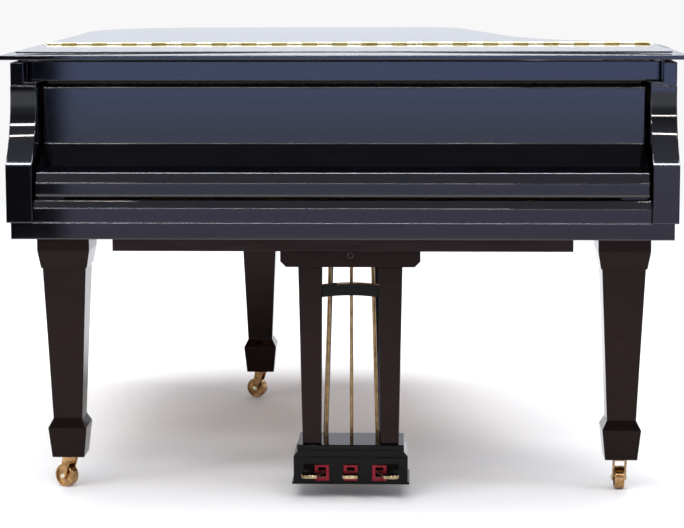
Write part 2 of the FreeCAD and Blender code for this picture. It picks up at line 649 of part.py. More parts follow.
# Fallboard: sloping board with a bevelled lip in front and an upright panel behind
ridge_depth = s.lip_front + s.ridge_set_back
board_slope = math.atan((s.panel_low - s.ridge_height) / (s.panel_front - ridge_depth))
board_drop = s.board_wall / math.cos(board_slope)
lip_back = s.lip_front + s.lip_wall
panel_back = s.panel_front + s.panel_wall
under_lip = s.ridge_height + (lip_back - ridge_depth) * math.tan(board_slope) - board_drop - s.lip_extra
under_panel = s.panel_low + s.panel_wall * math.tan(board_slope) - board_drop
wide_round = s.board_wall / 2
small_round = s.board_wall / 4
fallboard_side = outline([
    (back(s.lip_front), s.lip_low, wide_round),
    (back(s.lip_front), s.lip_shoulder, small_round),
    (back(ridge_depth), s.ridge_height, wide_round),
    (back(s.panel_front), s.panel_low, wide_round),
    (back(s.panel_front), s.panel_top, wide_round),
    (back(panel_back), s.panel_top, small_round),
    (back(panel_back), under_panel),
    (back(lip_back), under_lip),
    (back(lip_back), s.lip_low, small_round),
])
keep(padded("Fallboard", "YZ_Plane", fallboard_side, "-fallboard_half", "2 * fallboard_half"),
     "fallboard")

# each pivot plate is a round-ended link from the end of the panel to the pin
seat = V(0, back((s.panel_front + panel_back) / 2), s.panel_low + s.pivot_seat)
hub = V(0, back(s.pivot_depth), s.pivot_height)
link_side = (hub - seat).normalize().cross(V(1, 0, 0)) * s.pivot_ear
link_corners = [seat - link_side, seat + link_side, hub + link_side, hub - link_side]
link = Part.Face(Part.makePolygon(link_corners + link_corners[:1])).extrude(V(s.pivot_plate, 0, 0))
link = link.fuse([Part.makeCylinder(s.pivot_ear, s.pivot_plate, end, V(1, 0, 0)) for end in (seat, hub)])
pivots = []
for side in (-1, 1):
    start = s.fallboard_half if side > 0 else -s.fallboard_half - s.pivot_plate
    plate_shape = link.translated(V(start, 0, 0))
    pin_end = side * (arm_inner + s.pin_reach - s.seat_gap)
    pin = rod_shape((side * s.fallboard_half, s.pivot_depth, s.pivot_height),
                    (pin_end, s.pivot_depth, s.pivot_height), s.pivot_radius)
    pivots.append(plate_shape.fuse(pin).removeSplitter())
keep(solid("FallboardPivots", Part.makeCompound(pivots)), "fallboard_pivots")


# Lid: one board with a wide bevel down to a thin lip, parted at the long hinge
lid_low = s.case_top + s.lid_gap
lip_top = lid_low + s.lip_thick
lid_top = lid_low + s.lid_thick
lid_lip = piano_slab(0, s.lid_front_depth, lid_low, lip_top)
lid_bevel = Part.makeLoft([
    piano_wire(0, s.lid_front_depth, lip_top),
    piano_wire(s.bevel_width, s.lid_front_depth + s.bevel_width, lid_top)], True, True)
lid_board = lid_lip.fuse(lid_bevel)
leaf_half = s.lid_half - s.bevel_width - 2
leaf_low = lid_top - s.leaf_thick
hinge_height = lid_top + s.hinge_rise
knuckle_count = int(2 * leaf_half // s.knuckle_pitch)
knuckle_start = -knuckle_count * s.knuckle_pitch / 2
hinge_pin = rod_shape((knuckle_start, s.flap_end, hinge_height),
                      (-knuckle_start, s.flap_end, hinge_height), s.hinge_pin_radius)
hinge_bore = rod_shape((-s.lid_half, s.flap_end, hinge_height), (s.lid_half, s.flap_end, hinge_height),
                       s.hinge_pin_radius + s.pin_fit)


def lid_half_part(side):
    # the board on one side of the hinge line and its leaf; side is -1 for the flap, 1 for the main lid
    near = s.flap_end + side * s.hinge_gap
    far = near + side * s.leaf_width
    end = s.flap_end + side * 2 * s.overall_length
    region = box_shape((-s.overall_length, min(near, end), lid_low),
                       (s.overall_length, max(near, end), lid_top))
    recess = box_shape((-leaf_half, min(near, far), leaf_low), (leaf_half, max(near, far), lid_top))
    board = lid_board.common(region)
    leaf = recess.common(board)
    board = board.cut(recess)
    pieces = []
    for number in range(knuckle_count):
        if (number % 2 == 0) != (side > 0):
            continue
        x = knuckle_start + number * s.knuckle_pitch + s.pin_fit * 2
        x_end = knuckle_start + (number + 1) * s.knuckle_pitch - s.pin_fit * 2
        pieces.append(rod_shape((x, s.flap_end, hinge_height), (x_end, s.flap_end, hinge_height),
                                s.knuckle_radius))
        pieces.append(box_shape((x, min(s.flap_end, near), leaf_low),
                                (x_end, max(s.flap_end, near), lid_top)))
    return board, leaf.fuse(pieces).cut(hinge_bore).removeSplitter()


flap_board, flap_leaf = lid_half_part(-1)
main_board, main_leaf = lid_half_part(1)
keep(solid("LidFront", flap_board), "lid_front")
keep(solid("LidMain", main_board), "lid_main")
keep(solid("LidHingeFront", flap_leaf), "lid_hinge_front")
keep(solid("LidHingeMain", Part.makeCompound([main_leaf, hinge_pin])), "lid_hinge_main")

# two butt hinges on the spine: case leaf and pin stay, lid leaf goes up with the lid
axis_x = -case_half - s.side_hinge_out
axis_z = lid_low - s.side_axis_drop
case_leaves = []
lid_leaves = []
for depth in (s.flap_end + s.side_hinge_first, s.overall_length - s.side_hinge_last):
    third = s.side_hinge_width / 3
    bore = rod_shape((axis_x, depth, axis_z), (axis_x, depth + s.side_hinge_width, axis_z),
                     s.hinge_pin_radius + s.pin_fit)
    pin = rod_shape((axis_x, depth, axis_z), (axis_x, depth + s.side_hinge_width, axis_z),
                    s.hinge_pin_radius)
    case_leaf = box_shape((-case_half - s.side_leaf, depth, s.case_top - s.side_leaf_drop),
                          (-case_half, depth + s.side_hinge_width, s.case_top))
    for start in (depth, depth + 2 * third):
        case_leaf = case_leaf.fuse([
            rod_shape((axis_x, start, axis_z), (axis_x, start + third, axis_z), s.side_knuckle_radius),
            box_shape((axis_x, start, axis_z - s.side_knuckle_radius),
                      (-case_half, start + third, s.case_top))])
    case_leaves += [case_leaf.cut(bore).removeSplitter(), pin]
    start = depth + third + s.seat_gap
    end = depth + 2 * third - s.seat_gap
    lid_leaf = box_shape((axis_x - s.side_leaf_out, depth, lid_low - s.side_leaf),
                         (axis_x + s.side_leaf_in, depth + s.side_hinge_width, lid_low))
    lid_leaf = lid_leaf.fuse([
        rod_shape((axis_x, start, axis_z), (axis_x, end, axis_z), s.side_knuckle_radius),
        box_shape((axis_x - s.side_leaf, start, axis_z), (axis_x + s.side_leaf, end, lid_low))])
    lid_leaves.append(lid_leaf.cut(bore).removeSplitter())
keep(solid("SideHingeCase", Part.makeCompound(case_leaves)), "side_hinge_case")
keep(solid("SideHingeLid", Part.makeCompound(lid_leaves)), "side_hinge_lid")

bumper_line = case_half - s.rim_wall / 2
bumper_first = s.arm_set_back + 3 * s.bumper_radius
bumper_second = s.flap_end - s.leg_cap / 3
bumper_places = [(-bumper_line, bumper_first), (bumper_line, bumper_first),
                 (-bumper_line, bumper_second), (bumper_line, bumper_second),
                 (-bumper_line, s.overall_length - 2 * s.spine_radius),
                 (s.rear_leg_side, s.overall_length - s.lid_overhang - s.rim_wall / 2)]
bumpers = [rod_shape((x, depth, s.case_top), (x, depth, lid_low - s.seat_gap), s.bumper_radius)
           for x, depth in bumper_places]
keep(solid("LidBumpers", Part.makeCompound(bumpers)), "lid_bumpers")

# lid prop, folded down beside the treble strings, and its bracket on the plate
prop_end_x = arm_inner - s.prop_inset - s.prop_toe
prop_front = V(arm_inner - s.prop_inset, back(s.prop_start), s.prop_low)
prop_back = V(prop_end_x, back(s.damper_depth), s.prop_low)
prop_side = (prop_back - prop_front).normalize().cross(V(0, 0, 1)) * s.prop_width / 2
prop_corners = [prop_front - prop_side, prop_front + prop_side, prop_back + prop_side,
                prop_back - prop_side]
prop = Part.Face(Part.makePolygon(prop_corners + prop_corners[:1])).extrude(V(0, 0, s.prop_height))
bracket = box_shape((prop_end_x - s.prop_bracket / 2, s.damper_depth - s.prop_bracket, plate_top),
                    (prop_end_x + s.prop_bracket / 2, s.damper_depth, s.prop_low))
keep(solid("LidProp", Part.makeCompound([prop, bracket])), "lid_prop")

keep(block("MusicDesk", ("-desk_half", "stretcher_front + stretcher_wall + board_gap", "desk_low"),
           ("2 * desk_half", "desk_depth", "desk_thick")), "music_desk")
desk_rail_low = s.desk_low - s.desk_rail_width / 2
stretcher_back = s.stretcher_front + s.stretcher_wall
desk_rails = [box_shape((x, stretcher_back, desk_rail_low),
                        (x + s.desk_rail_width, s.plate_front, s.desk_low - s.seat_gap))
              for x in (-s.desk_half, s.desk_half - s.desk_rail_width)]
keep(solid("DeskRails", Part.makeCompound(desk_rails)), "desk_rails")


# Legs: square, tapered, with a coved cap and a flared foot, bored for the caster socket
def square(x, depth, z, width):
    half = width / 2
    corners = [V(x + a * half, back(depth) + b * half, z)
               for a, b in ((-1, -1), (1, -1), (1, 1), (-1, 1))]
    return Part.makePolygon(corners + corners[:1])


leg_high = s.case_bottom - s.leg_plate
leg_steps = [
    ((s.leg_low, s.foot_low), (s.foot_height, s.foot_top)),
    ((s.foot_height, s.foot_top), (s.shaft_low, s.leg_waist)),
    ((s.shaft_low, s.leg_waist), (s.cap_low, s.leg_top)),
    ((s.cap_low, s.leg_neck), (s.cove_top, s.leg_cap)),
    ((s.cove_top, s.leg_cap), (leg_high, s.leg_cap))]
socket_radius = s.stem_radius + s.socket_wall
socket_height = s.stem_length + s.socket_wall
feet = (("left", -s.leg_spread, s.leg_depth, s.turn_left),
        ("right", s.leg_spread, s.leg_depth, s.turn_right),
        ("rear", s.rear_leg_side, s.rear_leg_depth, s.turn_rear))
leg_plates = []
sockets = []
for name, x, depth, turn in feet:
    parts = [Part.makeLoft([square(x, depth, *low), square(x, depth, *high)], True, True)
             for low, high in leg_steps]
    leg = parts[0].fuse(parts[1:])
    base = V(x, back(depth), s.leg_low)
    leg = leg.cut(Part.makeCylinder(socket_radius, socket_height, base)).removeSplitter()
    keep(solid("Leg" + name.title(), leg), "leg_" + name)
    half = s.plate_size / 2
    leg_plates.append(box_shape((x - half, depth - half, leg_high),
                                (x + half, depth + half, s.case_bottom)))
    sockets.append(Part.makeCylinder(socket_radius, socket_height, base).cut(
        Part.makeCylinder(s.stem_radius + s.pin_fit, s.stem_length + s.side_clearance, base)))

    # caster: swivel plate with its stem, two cheeks and the axle, then the wheel
    plate_high = s.leg_low - s.seat_gap
    cheek_in = s.wheel_width / 2 + s.side_clearance
    cheek_out = cheek_in + s.fork_wall
    axle = V(-cheek_out, s.caster_trail, s.wheel_radius)
    fork = Part.makeCylinder(s.swivel_radius, s.swivel_thick, V(0, 0, plate_high - s.swivel_thick))
    fork = fork.fuse([
        Part.makeCylinder(s.stem_radius, s.stem_length, V(0, 0, plate_high)),
        Part.makeCylinder(s.axle_radius, 2 * cheek_out, axle, V(1, 0, 0))])
    boss = 2 * s.axle_radius
    for side in (-cheek_out, cheek_in):
        cheek_corners = [V(side, s.caster_trail - boss, s.wheel_radius), V(side, -s.fork_neck, plate_high),
                         V(side, s.fork_neck, plate_high), V(side, s.caster_trail + boss, s.wheel_radius)]
        cheek = Part.Face(Part.makePolygon(cheek_corners + cheek_corners[:1])).extrude(V(s.fork_wall, 0, 0))
        fork = fork.fuse([cheek, Part.makeCylinder(
            boss, s.fork_wall, V(side, s.caster_trail, s.wheel_radius), V(1, 0, 0))])
    wheel_start = V(-s.wheel_width / 2, s.caster_trail, s.wheel_radius)
    wheel = Part.makeCylinder(s.wheel_radius, s.wheel_width, wheel_start, V(1, 0, 0))
    wheel = wheel.makeFillet(s.wheel_width / 8, [edge for edge in wheel.Edges if edge.Closed])
    for start in (wheel_start, wheel_start + V(s.wheel_width - s.wheel_recess, 0, 0)):
        dish = Part.makeCylinder(s.wheel_radius - s.wheel_rim, s.wheel_recess, start, V(1, 0, 0))
        wheel = wheel.cut(dish.cut(Part.makeCylinder(s.hub_radius, s.wheel_recess, start, V(1, 0, 0))))
    wheel = wheel.cut(Part.makeCylinder(s.axle_radius + s.pin_fit, s.wheel_width, wheel_start, V(1, 0, 0)))
    for item, label in ((fork.removeSplitter(), "caster_fork_"), (wheel, "caster_wheel_")):
        item.rotate(V(0, 0, 0), V(0, 0, 1), turn)
        item.translate(V(x, back(depth), 0))
        keep(solid(label.title().replace("_", "") + name.title(), item), label + name)
keep(solid("LegPlates", Part.makeCompound(leg_plates)), "leg_plates")
keep(solid("CasterSockets", Part.makeCompound(sockets)), "caster_sockets")


# Pedal lyre
lyre_top = s.case_bottom - s.beam_height
head_side = outline([
    (s.lyre_side - s.lyre_head_half, lyre_top),
    (s.lyre_side - s.lyre_head_half, s.lyre_head_low + s.lyre_chamfer),
    (s.lyre_side - s.lyre_head_half + s.lyre_chamfer, s.lyre_head_low),
    (s.lyre_side + s.lyre_head_half - s.lyre_chamfer, s.lyre_head_low),
    (s.lyre_side + s.lyre_head_half, s.lyre_head_low + s.lyre_chamfer),
    (s.lyre_side + s.lyre_head_half, lyre_top),
])
head_body = padded("LyreHead", "XZ_Plane", head_side,
                   "overall_length / 2 - lyre_head_front - lyre_head_depth", "lyre_head_depth")
keep(cut_from("LyreHead", head_body, [solid("LyreHeadHoles", rod_bores)]), "lyre_head")


def post_section(side, z, spread, width):
    x = s.lyre_side + side * spread
    corners = [V(x + a * width / 2, back(s.post_front + b * s.post_depth), z)
               for a, b in ((-1, 0), (1, 0), (1, 1), (-1, 1))]
    return Part.makePolygon(corners + corners[:1])


lyre_posts = [Part.makeLoft([
    post_section(side, s.box_top, s.post_spread_low, s.post_low_width),
    post_section(side, s.lyre_head_low, s.post_spread_top, s.post_top_width)], True, True)
    for side in (-1, 1)]
keep(solid("LyrePosts", Part.makeCompound(lyre_posts)), "lyre_posts")

# cross guide between the posts, hollowed underneath
guide_left = s.lyre_side - s.post_spread_top
guide_right = s.lyre_side + s.post_spread_top
guide_high = s.guide_low + s.guide_height
guide_side = outline([
    (guide_left, s.guide_low),
    ("via", s.lyre_side, s.guide_low + s.guide_sag),
    (guide_right, s.guide_low),
    (guide_right, guide_high),
    ("via", s.lyre_side, guide_high + s.guide_sag),
    (guide_left, guide_high),
])
guide_body = padded("LyreGuide", "XZ_Plane", guide_side,
                    "overall_length / 2 - post_front - post_depth / 2 - guide_depth / 2", "guide_depth")
guide_ends = solid("LyreGuideEnds", Part.makeCompound(lyre_posts))
keep(cut_from("LyreGuide", guide_body, [guide_ends]), "lyre_guide")

box_side = outline([
    (s.lyre_side - s.box_base_half, s.box_low),
    (s.lyre_side + s.box_base_half, s.box_low),
    (s.lyre_side + s.box_base_half, s.box_low + s.box_base_height),
    (s.lyre_side + s.box_half, s.box_low + s.box_base_height),
    (s.lyre_side + s.box_half, s.box_shoulder),
    (s.lyre_side + s.box_top_half, s.box_neck),
    (s.lyre_side + s.box_top_half, s.box_top),
    (s.lyre_side - s.box_top_half, s.box_top),
    (s.lyre_side - s.box_top_half, s.box_neck),
    (s.lyre_side - s.box_half, s.box_shoulder),
    (s.lyre_side - s.box_half, s.box_low + s.box_base_height),
    (s.lyre_side - s.box_base_half, s.box_low + s.box_base_height),
])
box_body = padded("PedalBox", "XZ_Plane", box_side, "overall_length / 2 - box_front - box_depth",
                  "box_depth")
box_back = s.box_front + s.box_depth
pedal_middle = s.pedal_low + s.pedal_thick / 2
trunnion_half = s.slot_width / 2 + s.trunnion_reach
box_tools = [solid("PedalBoxRodHoles", rod_bores)]
felts = []
for name, side in rod_sides:
    x = s.lyre_side + side * s.pedal_pitch
    slot_low = (x - s.slot_width / 2, s.box_front, s.slot_low)
    slot_high = (x + s.slot_width / 2, s.box_front + s.felt_length, s.slot_high)
    slot = box_shape(slot_low, (slot_high[0], box_back - s.slot_back, s.slot_high))
    socket = rod_shape((x - trunnion_half, s.pedal_pivot_depth, pedal_middle),
                       (x + trunnion_half, s.pedal_pivot_depth, pedal_middle),
                       s.trunnion_radius + s.pin_fit)
    box_tools.append(solid("PedalSlot" + name.title(), slot.fuse(socket)))
    felt_hole = box_shape((slot_low[0] + s.felt_side, s.box_front, s.slot_low + s.felt_side),
                          (slot_high[0] - s.felt_side, slot_high[1], s.slot_high - s.felt_top))
    felts.append(box_shape(slot_low, slot_high).cut(felt_hole))

    # pedal: straight tail on its trunnion, bent neck and rounded toe
    half = s.pedal_width / 2
    toe_x = x + side * s.pedal_swing
    toe_half = s.pedal_toe / 2
    neck = s.box_front - s.pedal_neck_gap
    toe_end = s.pedal_front + 1.1 * s.pedal_toe
    pedal_outline = outline([
        (x - half, back(s.pedal_end)), (x - half, back(neck)),
        (toe_x - toe_half, back(toe_end), s.pedal_round),
        (toe_x - toe_half, back(s.pedal_front), 0.9 * toe_half),
        (toe_x + toe_half, back(s.pedal_front), 0.9 * toe_half),
        (toe_x + toe_half, back(toe_end), s.pedal_round),
        (x + half, back(neck)), (x + half, back(s.pedal_end))])
    lever = padded("PedalLever" + name.title(), "XY_Plane", pedal_outline, "pedal_low", "pedal_thick")
    trunnion = solid("PedalTrunnion" + name.title(), rod_shape(
        (x - trunnion_half + s.seat_gap, s.pedal_pivot_depth, pedal_middle),
        (x + trunnion_half - s.seat_gap, s.pedal_pivot_depth, pedal_middle), s.trunnion_radius))
    pedal = doc.addObject("Part::Fuse", "Pedal" + name.title())
    pedal.Base = lever
    pedal.Tool = trunnion
    keep(pedal, "pedal_" + name)
    rod = rod_shape(rod_axis(side, rod_low), rod_axis(side, rod_high), s.rod_radius)
    keep(solid("PedalRod" + name.title(), rod), "pedal_rod_" + name)
keep(cut_from("PedalBox", box_body, box_tools), "pedal_box")
keep(solid("PedalFelts", Part.makeCompound(felts)), "pedal_felts")

# braces from the back of the pedal box up to the underside of the keybed
braces = []
rise = (s.case_bottom - s.brace_low) / (s.brace_end - box_back)
extra = 5 * s.brace_radius
for side in (-1, 1):
    low = (s.lyre_side + side * s.brace_spread, box_back - extra, s.brace_low - rise * extra)
    high = (s.lyre_side + side * s.brace_top_spread, s.brace_end + extra, s.case_bottom + rise * extra)
    brace = rod_shape(low, high, s.brace_radius)
    space = box_shape((-s.lid_half, box_back, 0), (s.lid_half, s.overall_length, s.case_bottom))
    braces.append(brace.common(space))
keep(solid("LyreBraces", Part.makeCompound(braces)), "lyre_braces")


# Check and write
doc.recompute()
for item in doc.Objects:
    if "Invalid" in item.State or "Error" in item.State:
        raise RuntimeError("failed: " + item.Label)
os.makedirs("parts", exist_ok=True)
for item in finished:
    if item.Shape.isNull() or not item.Shape.isValid() or not item.Shape.Solids:
        raise RuntimeError("bad shape: " + item.Label)
for item in finished:
    item.Shape.exportStep("parts/" + item.Label + ".step")
print(len(finished), "nodes written")
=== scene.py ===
import bpy
import json
import math
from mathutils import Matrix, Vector

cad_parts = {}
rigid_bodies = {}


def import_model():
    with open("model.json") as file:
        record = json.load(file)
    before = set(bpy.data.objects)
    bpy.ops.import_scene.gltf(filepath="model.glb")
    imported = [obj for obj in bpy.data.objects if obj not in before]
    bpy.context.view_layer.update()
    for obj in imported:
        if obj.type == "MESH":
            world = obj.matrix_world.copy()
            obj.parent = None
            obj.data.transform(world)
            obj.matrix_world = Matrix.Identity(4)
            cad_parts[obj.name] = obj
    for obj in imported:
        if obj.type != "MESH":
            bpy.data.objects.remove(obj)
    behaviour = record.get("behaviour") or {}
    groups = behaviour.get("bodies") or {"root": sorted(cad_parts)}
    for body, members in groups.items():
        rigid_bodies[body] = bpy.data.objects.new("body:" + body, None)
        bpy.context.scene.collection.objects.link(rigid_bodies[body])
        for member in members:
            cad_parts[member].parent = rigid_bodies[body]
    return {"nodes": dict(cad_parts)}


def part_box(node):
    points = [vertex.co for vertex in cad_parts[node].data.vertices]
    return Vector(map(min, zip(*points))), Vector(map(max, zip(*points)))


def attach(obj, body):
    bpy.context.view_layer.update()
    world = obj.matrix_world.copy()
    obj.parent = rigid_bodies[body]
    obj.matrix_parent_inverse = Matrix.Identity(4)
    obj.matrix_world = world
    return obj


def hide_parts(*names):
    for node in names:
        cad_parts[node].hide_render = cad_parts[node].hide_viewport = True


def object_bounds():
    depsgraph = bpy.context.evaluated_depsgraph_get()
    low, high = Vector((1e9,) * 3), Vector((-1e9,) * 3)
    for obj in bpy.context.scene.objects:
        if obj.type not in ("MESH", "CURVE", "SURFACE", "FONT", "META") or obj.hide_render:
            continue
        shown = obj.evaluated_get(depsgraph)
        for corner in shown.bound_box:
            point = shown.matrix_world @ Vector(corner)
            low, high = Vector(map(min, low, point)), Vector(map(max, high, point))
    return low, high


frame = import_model()
nodes = frame["nodes"]
cadLow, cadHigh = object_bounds()
print("frame:", len(nodes), "nodes")

# Distances in the piano are measured back from the fronts of the arms.
armFront = cadLow.y


def linear(hexCode):
    # sRGB hex value to linear colour
    parts = [int(hexCode[i:i + 2], 16) / 255 for i in (1, 3, 5)]
    return [p / 12.92 if p <= 0.04045 else ((p + 0.055) / 1.055) ** 2.4 for p in parts] + [1.0]


def addNode(tree, kind, sockets={}, links={}, **settings):
    # one node with its settings, socket values and links
    node = tree.nodes.new(kind)
    for name, value in settings.items():
        setattr(node, name, value)
    for name, value in sockets.items():
        node.inputs[name].default_value = value
    for name, source in links.items():
        tree.links.new(source, node.inputs[name])
    return node


def newFinish(name, sockets):
    finish = bpy.data.materials.new(name)
    finish.use_nodes = True
    tree = finish.node_tree
    shader = tree.nodes["Principled BSDF"]
    for socket, value in sockets.items():
        shader.inputs[socket].default_value = value
    place = addNode(tree, "ShaderNodeTexCoord").outputs["Object"]
    return finish, tree, shader, place


def paintRamp(tree, source, stops):
    ramp = addNode(tree, "ShaderNodeValToRGB", links={"Fac": source})
    while len(ramp.color_ramp.elements) < len(stops):
        ramp.color_ramp.elements.new(0.5)
    for element, (position, colour) in zip(ramp.color_ramp.elements, stops):
        element.position = position
        element.color = linear(colour)
    return ramp.outputs["Color"]


# Camera: a little above the lid and to the treble side, as the photograph was taken.
view = {"place": (0.1579, armFront - 4.5936, 1.2375), "turn": 0.0336, "tilt": -0.1159, "lean": 0.0025,
        "focal": 2105.7, "drop": 70.0, "imageWide": 684.0,  # in pixels
        "sensorWide": 36.0}
cameraData = bpy.data.cameras.new("frontCamera")
cameraData.sensor_width = view["sensorWide"]
cameraData.lens = view["focal"] / view["imageWide"] * view["sensorWide"]
cameraData.shift_y = -view["drop"] / view["imageWide"]
camera = bpy.data.objects.new("frontCamera", cameraData)
camera.location = view["place"]
camera.rotation_euler = (math.pi / 2 + view["tilt"], view["lean"], view["turn"])
bpy.context.collection.objects.link(camera)
bpy.context.scene.camera = camera
print("camera set")

# Floor and light: a round pale floor, a sky that is bright low down, dim half way up and paler overhead,
# and a broad soft window far in front for the polish to mirror.
room = {"floorColours": [(0.3, "#f6f6f5"), (0.7, "#f3f3f2")], "floorMottle": 1.4, "floorRadius": 5.2,
        "floorSides": 128, "backdrop": "#f8f8f9", "backdropStrength": 1.0, "skyStrength": 1.0,
        "skyColours": [(0.0, "#eef2fb"), (0.24, "#eef2fb"), (0.32, "#9aa0ad"), (0.5, "#5a5e68"),
                       (0.72, "#a8acbc"), (1.0, "#b4b8c6")],
        "dimColour": "#2a2b30", "dimStrength": 1.0, "horizonBlur": 0.02, "windowStrength": 2.4,
        "windowEdge": (0.172, 0.164), "windowLift": (-0.15, -0.04),
        "windowColours": [(0.0, "#4c3831"), (0.04, "#796f76"), (0.12, "#8d8aa4"), (0.2, "#9795b3"),
                          (0.47, "#9a9cb3"), (0.7, "#a9b8e7"), (0.8, "#aebdf8")]}
bpy.ops.object.select_all(action="DESELECT")
bpy.ops.mesh.primitive_circle_add(vertices=room["floorSides"], radius=room["floorRadius"], fill_type="NGON",
                                  location=(0, 0, 0))
floor = bpy.context.object
floor.name = "paleFloor"
# Painted studio floor: matt, with a faint roller mottle.
floorPaint, tree, shader, place = newFinish("paintedFloor", {"Roughness": 0.85, "Specular IOR Level": 0.15})
mottle = addNode(tree, "ShaderNodeTexNoise", {"Scale": room["floorMottle"], "Detail": 3.0}, {"Vector": place})
tree.links.new(paintRamp(tree, mottle.outputs["Fac"], room["floorColours"]), shader.inputs["Base Color"])
floor.data.materials.append(floorPaint)

world = bpy.data.worlds.new("studioSky")
bpy.context.scene.world = world
world.use_nodes = True
tree = world.node_tree
tree.nodes.clear()
axes = addNode(tree, "ShaderNodeSeparateXYZ",
               links={"Vector": addNode(tree, "ShaderNodeTexCoord").outputs["Generated"]})
# the window spans about nine and a half degrees to each side of the front, and fades to brown downwards
across = addNode(tree, "ShaderNodeMath", links={0: axes.outputs["X"], 1: axes.outputs["Y"]},
                 operation="DIVIDE")
offCentre = addNode(tree, "ShaderNodeMath", links={0: across.outputs["Value"]}, operation="ABSOLUTE")
edgeOut, edgeIn = room["windowEdge"]
inWindow = addNode(tree, "ShaderNodeMapRange", {"From Min": edgeOut, "From Max": edgeIn},
                   {"Value": offCentre.outputs["Value"]})
inFront = addNode(tree, "ShaderNodeMath", {1: 0.0}, {0: axes.outputs["Y"]}, operation="LESS_THAN")
shown = addNode(tree, "ShaderNodeMath", links={0: inWindow.outputs["Result"], 1: inFront.outputs["Value"]},
                operation="MULTIPLY")
liftLow, liftHigh = room["windowLift"]
lift = addNode(tree, "ShaderNodeMapRange", {"From Min": liftLow, "From Max": liftHigh},
               {"Value": axes.outputs["Z"]})
windowGlow = addNode(tree, "ShaderNodeBackground", {"Strength": room["windowStrength"]},
                     {"Color": paintRamp(tree, lift.outputs["Result"], room["windowColours"])})
dimWall = addNode(tree, "ShaderNodeBackground",
                  {"Color": linear(room["dimColour"]), "Strength": room["dimStrength"]})
sky = addNode(tree, "ShaderNodeBackground", {"Strength": room["skyStrength"]},
              {"Color": paintRamp(tree, axes.outputs["Z"], room["skyColours"])})
backdrop = addNode(tree, "ShaderNodeBackground",
                   {"Color": linear(room["backdrop"]), "Strength": room["backdropStrength"]})
isUp = addNode(tree, "ShaderNodeMapRange", {"From Min": -room["horizonBlur"], "From Max": room["horizonBlur"]},
               {"Value": axes.outputs["Z"]})
lowerHalf = addNode(tree, "ShaderNodeMixShader", links={0: shown.outputs["Value"], 1: dimWall.outputs[0],
                                                        2: windowGlow.outputs[0]})
surround = addNode(tree, "ShaderNodeMixShader", links={0: isUp.outputs["Result"], 1: lowerHalf.outputs[0],
                                                       2: sky.outputs[0]})
# the camera sees a plain pale backdrop behind the object
seen = addNode(tree, "ShaderNodeMixShader", links={
    0: addNode(tree, "ShaderNodeLightPath").outputs["Is Camera Ray"],
    1: surround.outputs[0], 2: backdrop.outputs[0]})
addNode(tree, "ShaderNodeOutputWorld", links={"Surface": seen.outputs[0]})

# Lamps: one with mirrored False does not show in the polish, and one with lights False shows there alone.
panels = [
    {"name": "topPanel", "place": (0.0, 0.9, 4.6), "aim": (0, 0.3, 0.6), "size": (4.6, 3.0), "power": 190,
     "tint": "#ffffff"},
    {"name": "frontStrip", "place": (-0.7, -3.6, 3.0), "aim": (0, -0.6, 0.8), "size": (2.6, 0.14), "power": 36,
     "tint": "#ffffff"},
    {"name": "leftTube", "place": (-1.5, -2.4, 3.1), "aim": (-0.7, -0.7, 0.8), "size": (1.4, 0.06), "power": 14,
     "tint": "#fff4ee"},
    {"name": "rightTube", "place": (1.6, -2.4, 3.1), "aim": (0.7, -0.7, 0.8), "size": (1.4, 0.06), "power": 14,
     "tint": "#fff4ee"},
    {"name": "farTube", "place": (1.2, -5.2, 3.2), "aim": (0.7, -0.7, 0.8), "size": (1.8, 0.08), "power": 18,
     "tint": "#fff4ee"},
    {"name": "floorFill", "place": (0.0, -1.2, 5.4), "aim": (0, -0.2, 0), "size": (9.0, 8.0), "power": 275,
     "tint": "#ffffff", "mirrored": False},
    {"name": "edgeTube", "place": (0.0, -0.7, 4.5), "aim": (0, -0.7, 0), "size": (6.0, 0.3), "power": 320,
     "tint": "#e9efff", "lights": False},
    {"name": "leftPanel", "place": (-4.8, -3.4, 2.6), "aim": (0, 0, 0.7), "size": (1.4, 2.2), "power": 60,
     "tint": "#f4f6ff"},
    {"name": "rightPanel", "place": (4.6, -2.0, 2.2), "aim": (0, 0, 0.7), "size": (1.0, 2.4), "power": 45,
     "tint": "#e8eeff"},
    {"name": "backPanel", "place": (0.0, 5.2, 3.0), "aim": (0, 0, 0.8), "size": (7.4, 1.6), "power": 58,
     "tint": "#ffffff"},
]
for panel in panels:
    data = bpy.data.lights.new(panel["name"], "AREA")
    data.shape = "RECTANGLE"
    data.size, data.size_y = panel["size"]
    data.energy = panel["power"]
    data.color = linear(panel["tint"])[:3]
    lamp = bpy.data.objects.new(panel["name"], data)
    lamp.location = panel["place"]
    lamp.visible_glossy = panel.get("mirrored", True)
    lamp.visible_diffuse = panel.get("lights", True)
    lamp.rotation_euler = (Vector(panel["aim"]) - lamp.location).to_track_quat("-Z", "Y").to_euler()
    bpy.context.collection.objects.link(lamp)
bpy.context.scene.view_settings.view_transform = "Standard"
print("floor and light set")


def dress(finish, *names):
    for name in names:
        node = nodes[name]
        for slot in node.material_slots:
            slot.material = finish
        if not node.material_slots:
            node.data.materials.append(finish)


# Sizes of the lacquer's patterns in metres, and its range of roughness.
lacquerLook = {"easedEdge": 0.0036, "wave": 0.16, "waveDeep": 0.0004, "haze": 0.03, "rough": (0.03, 0.065),
               "grainScale": (9, 9, 90)}


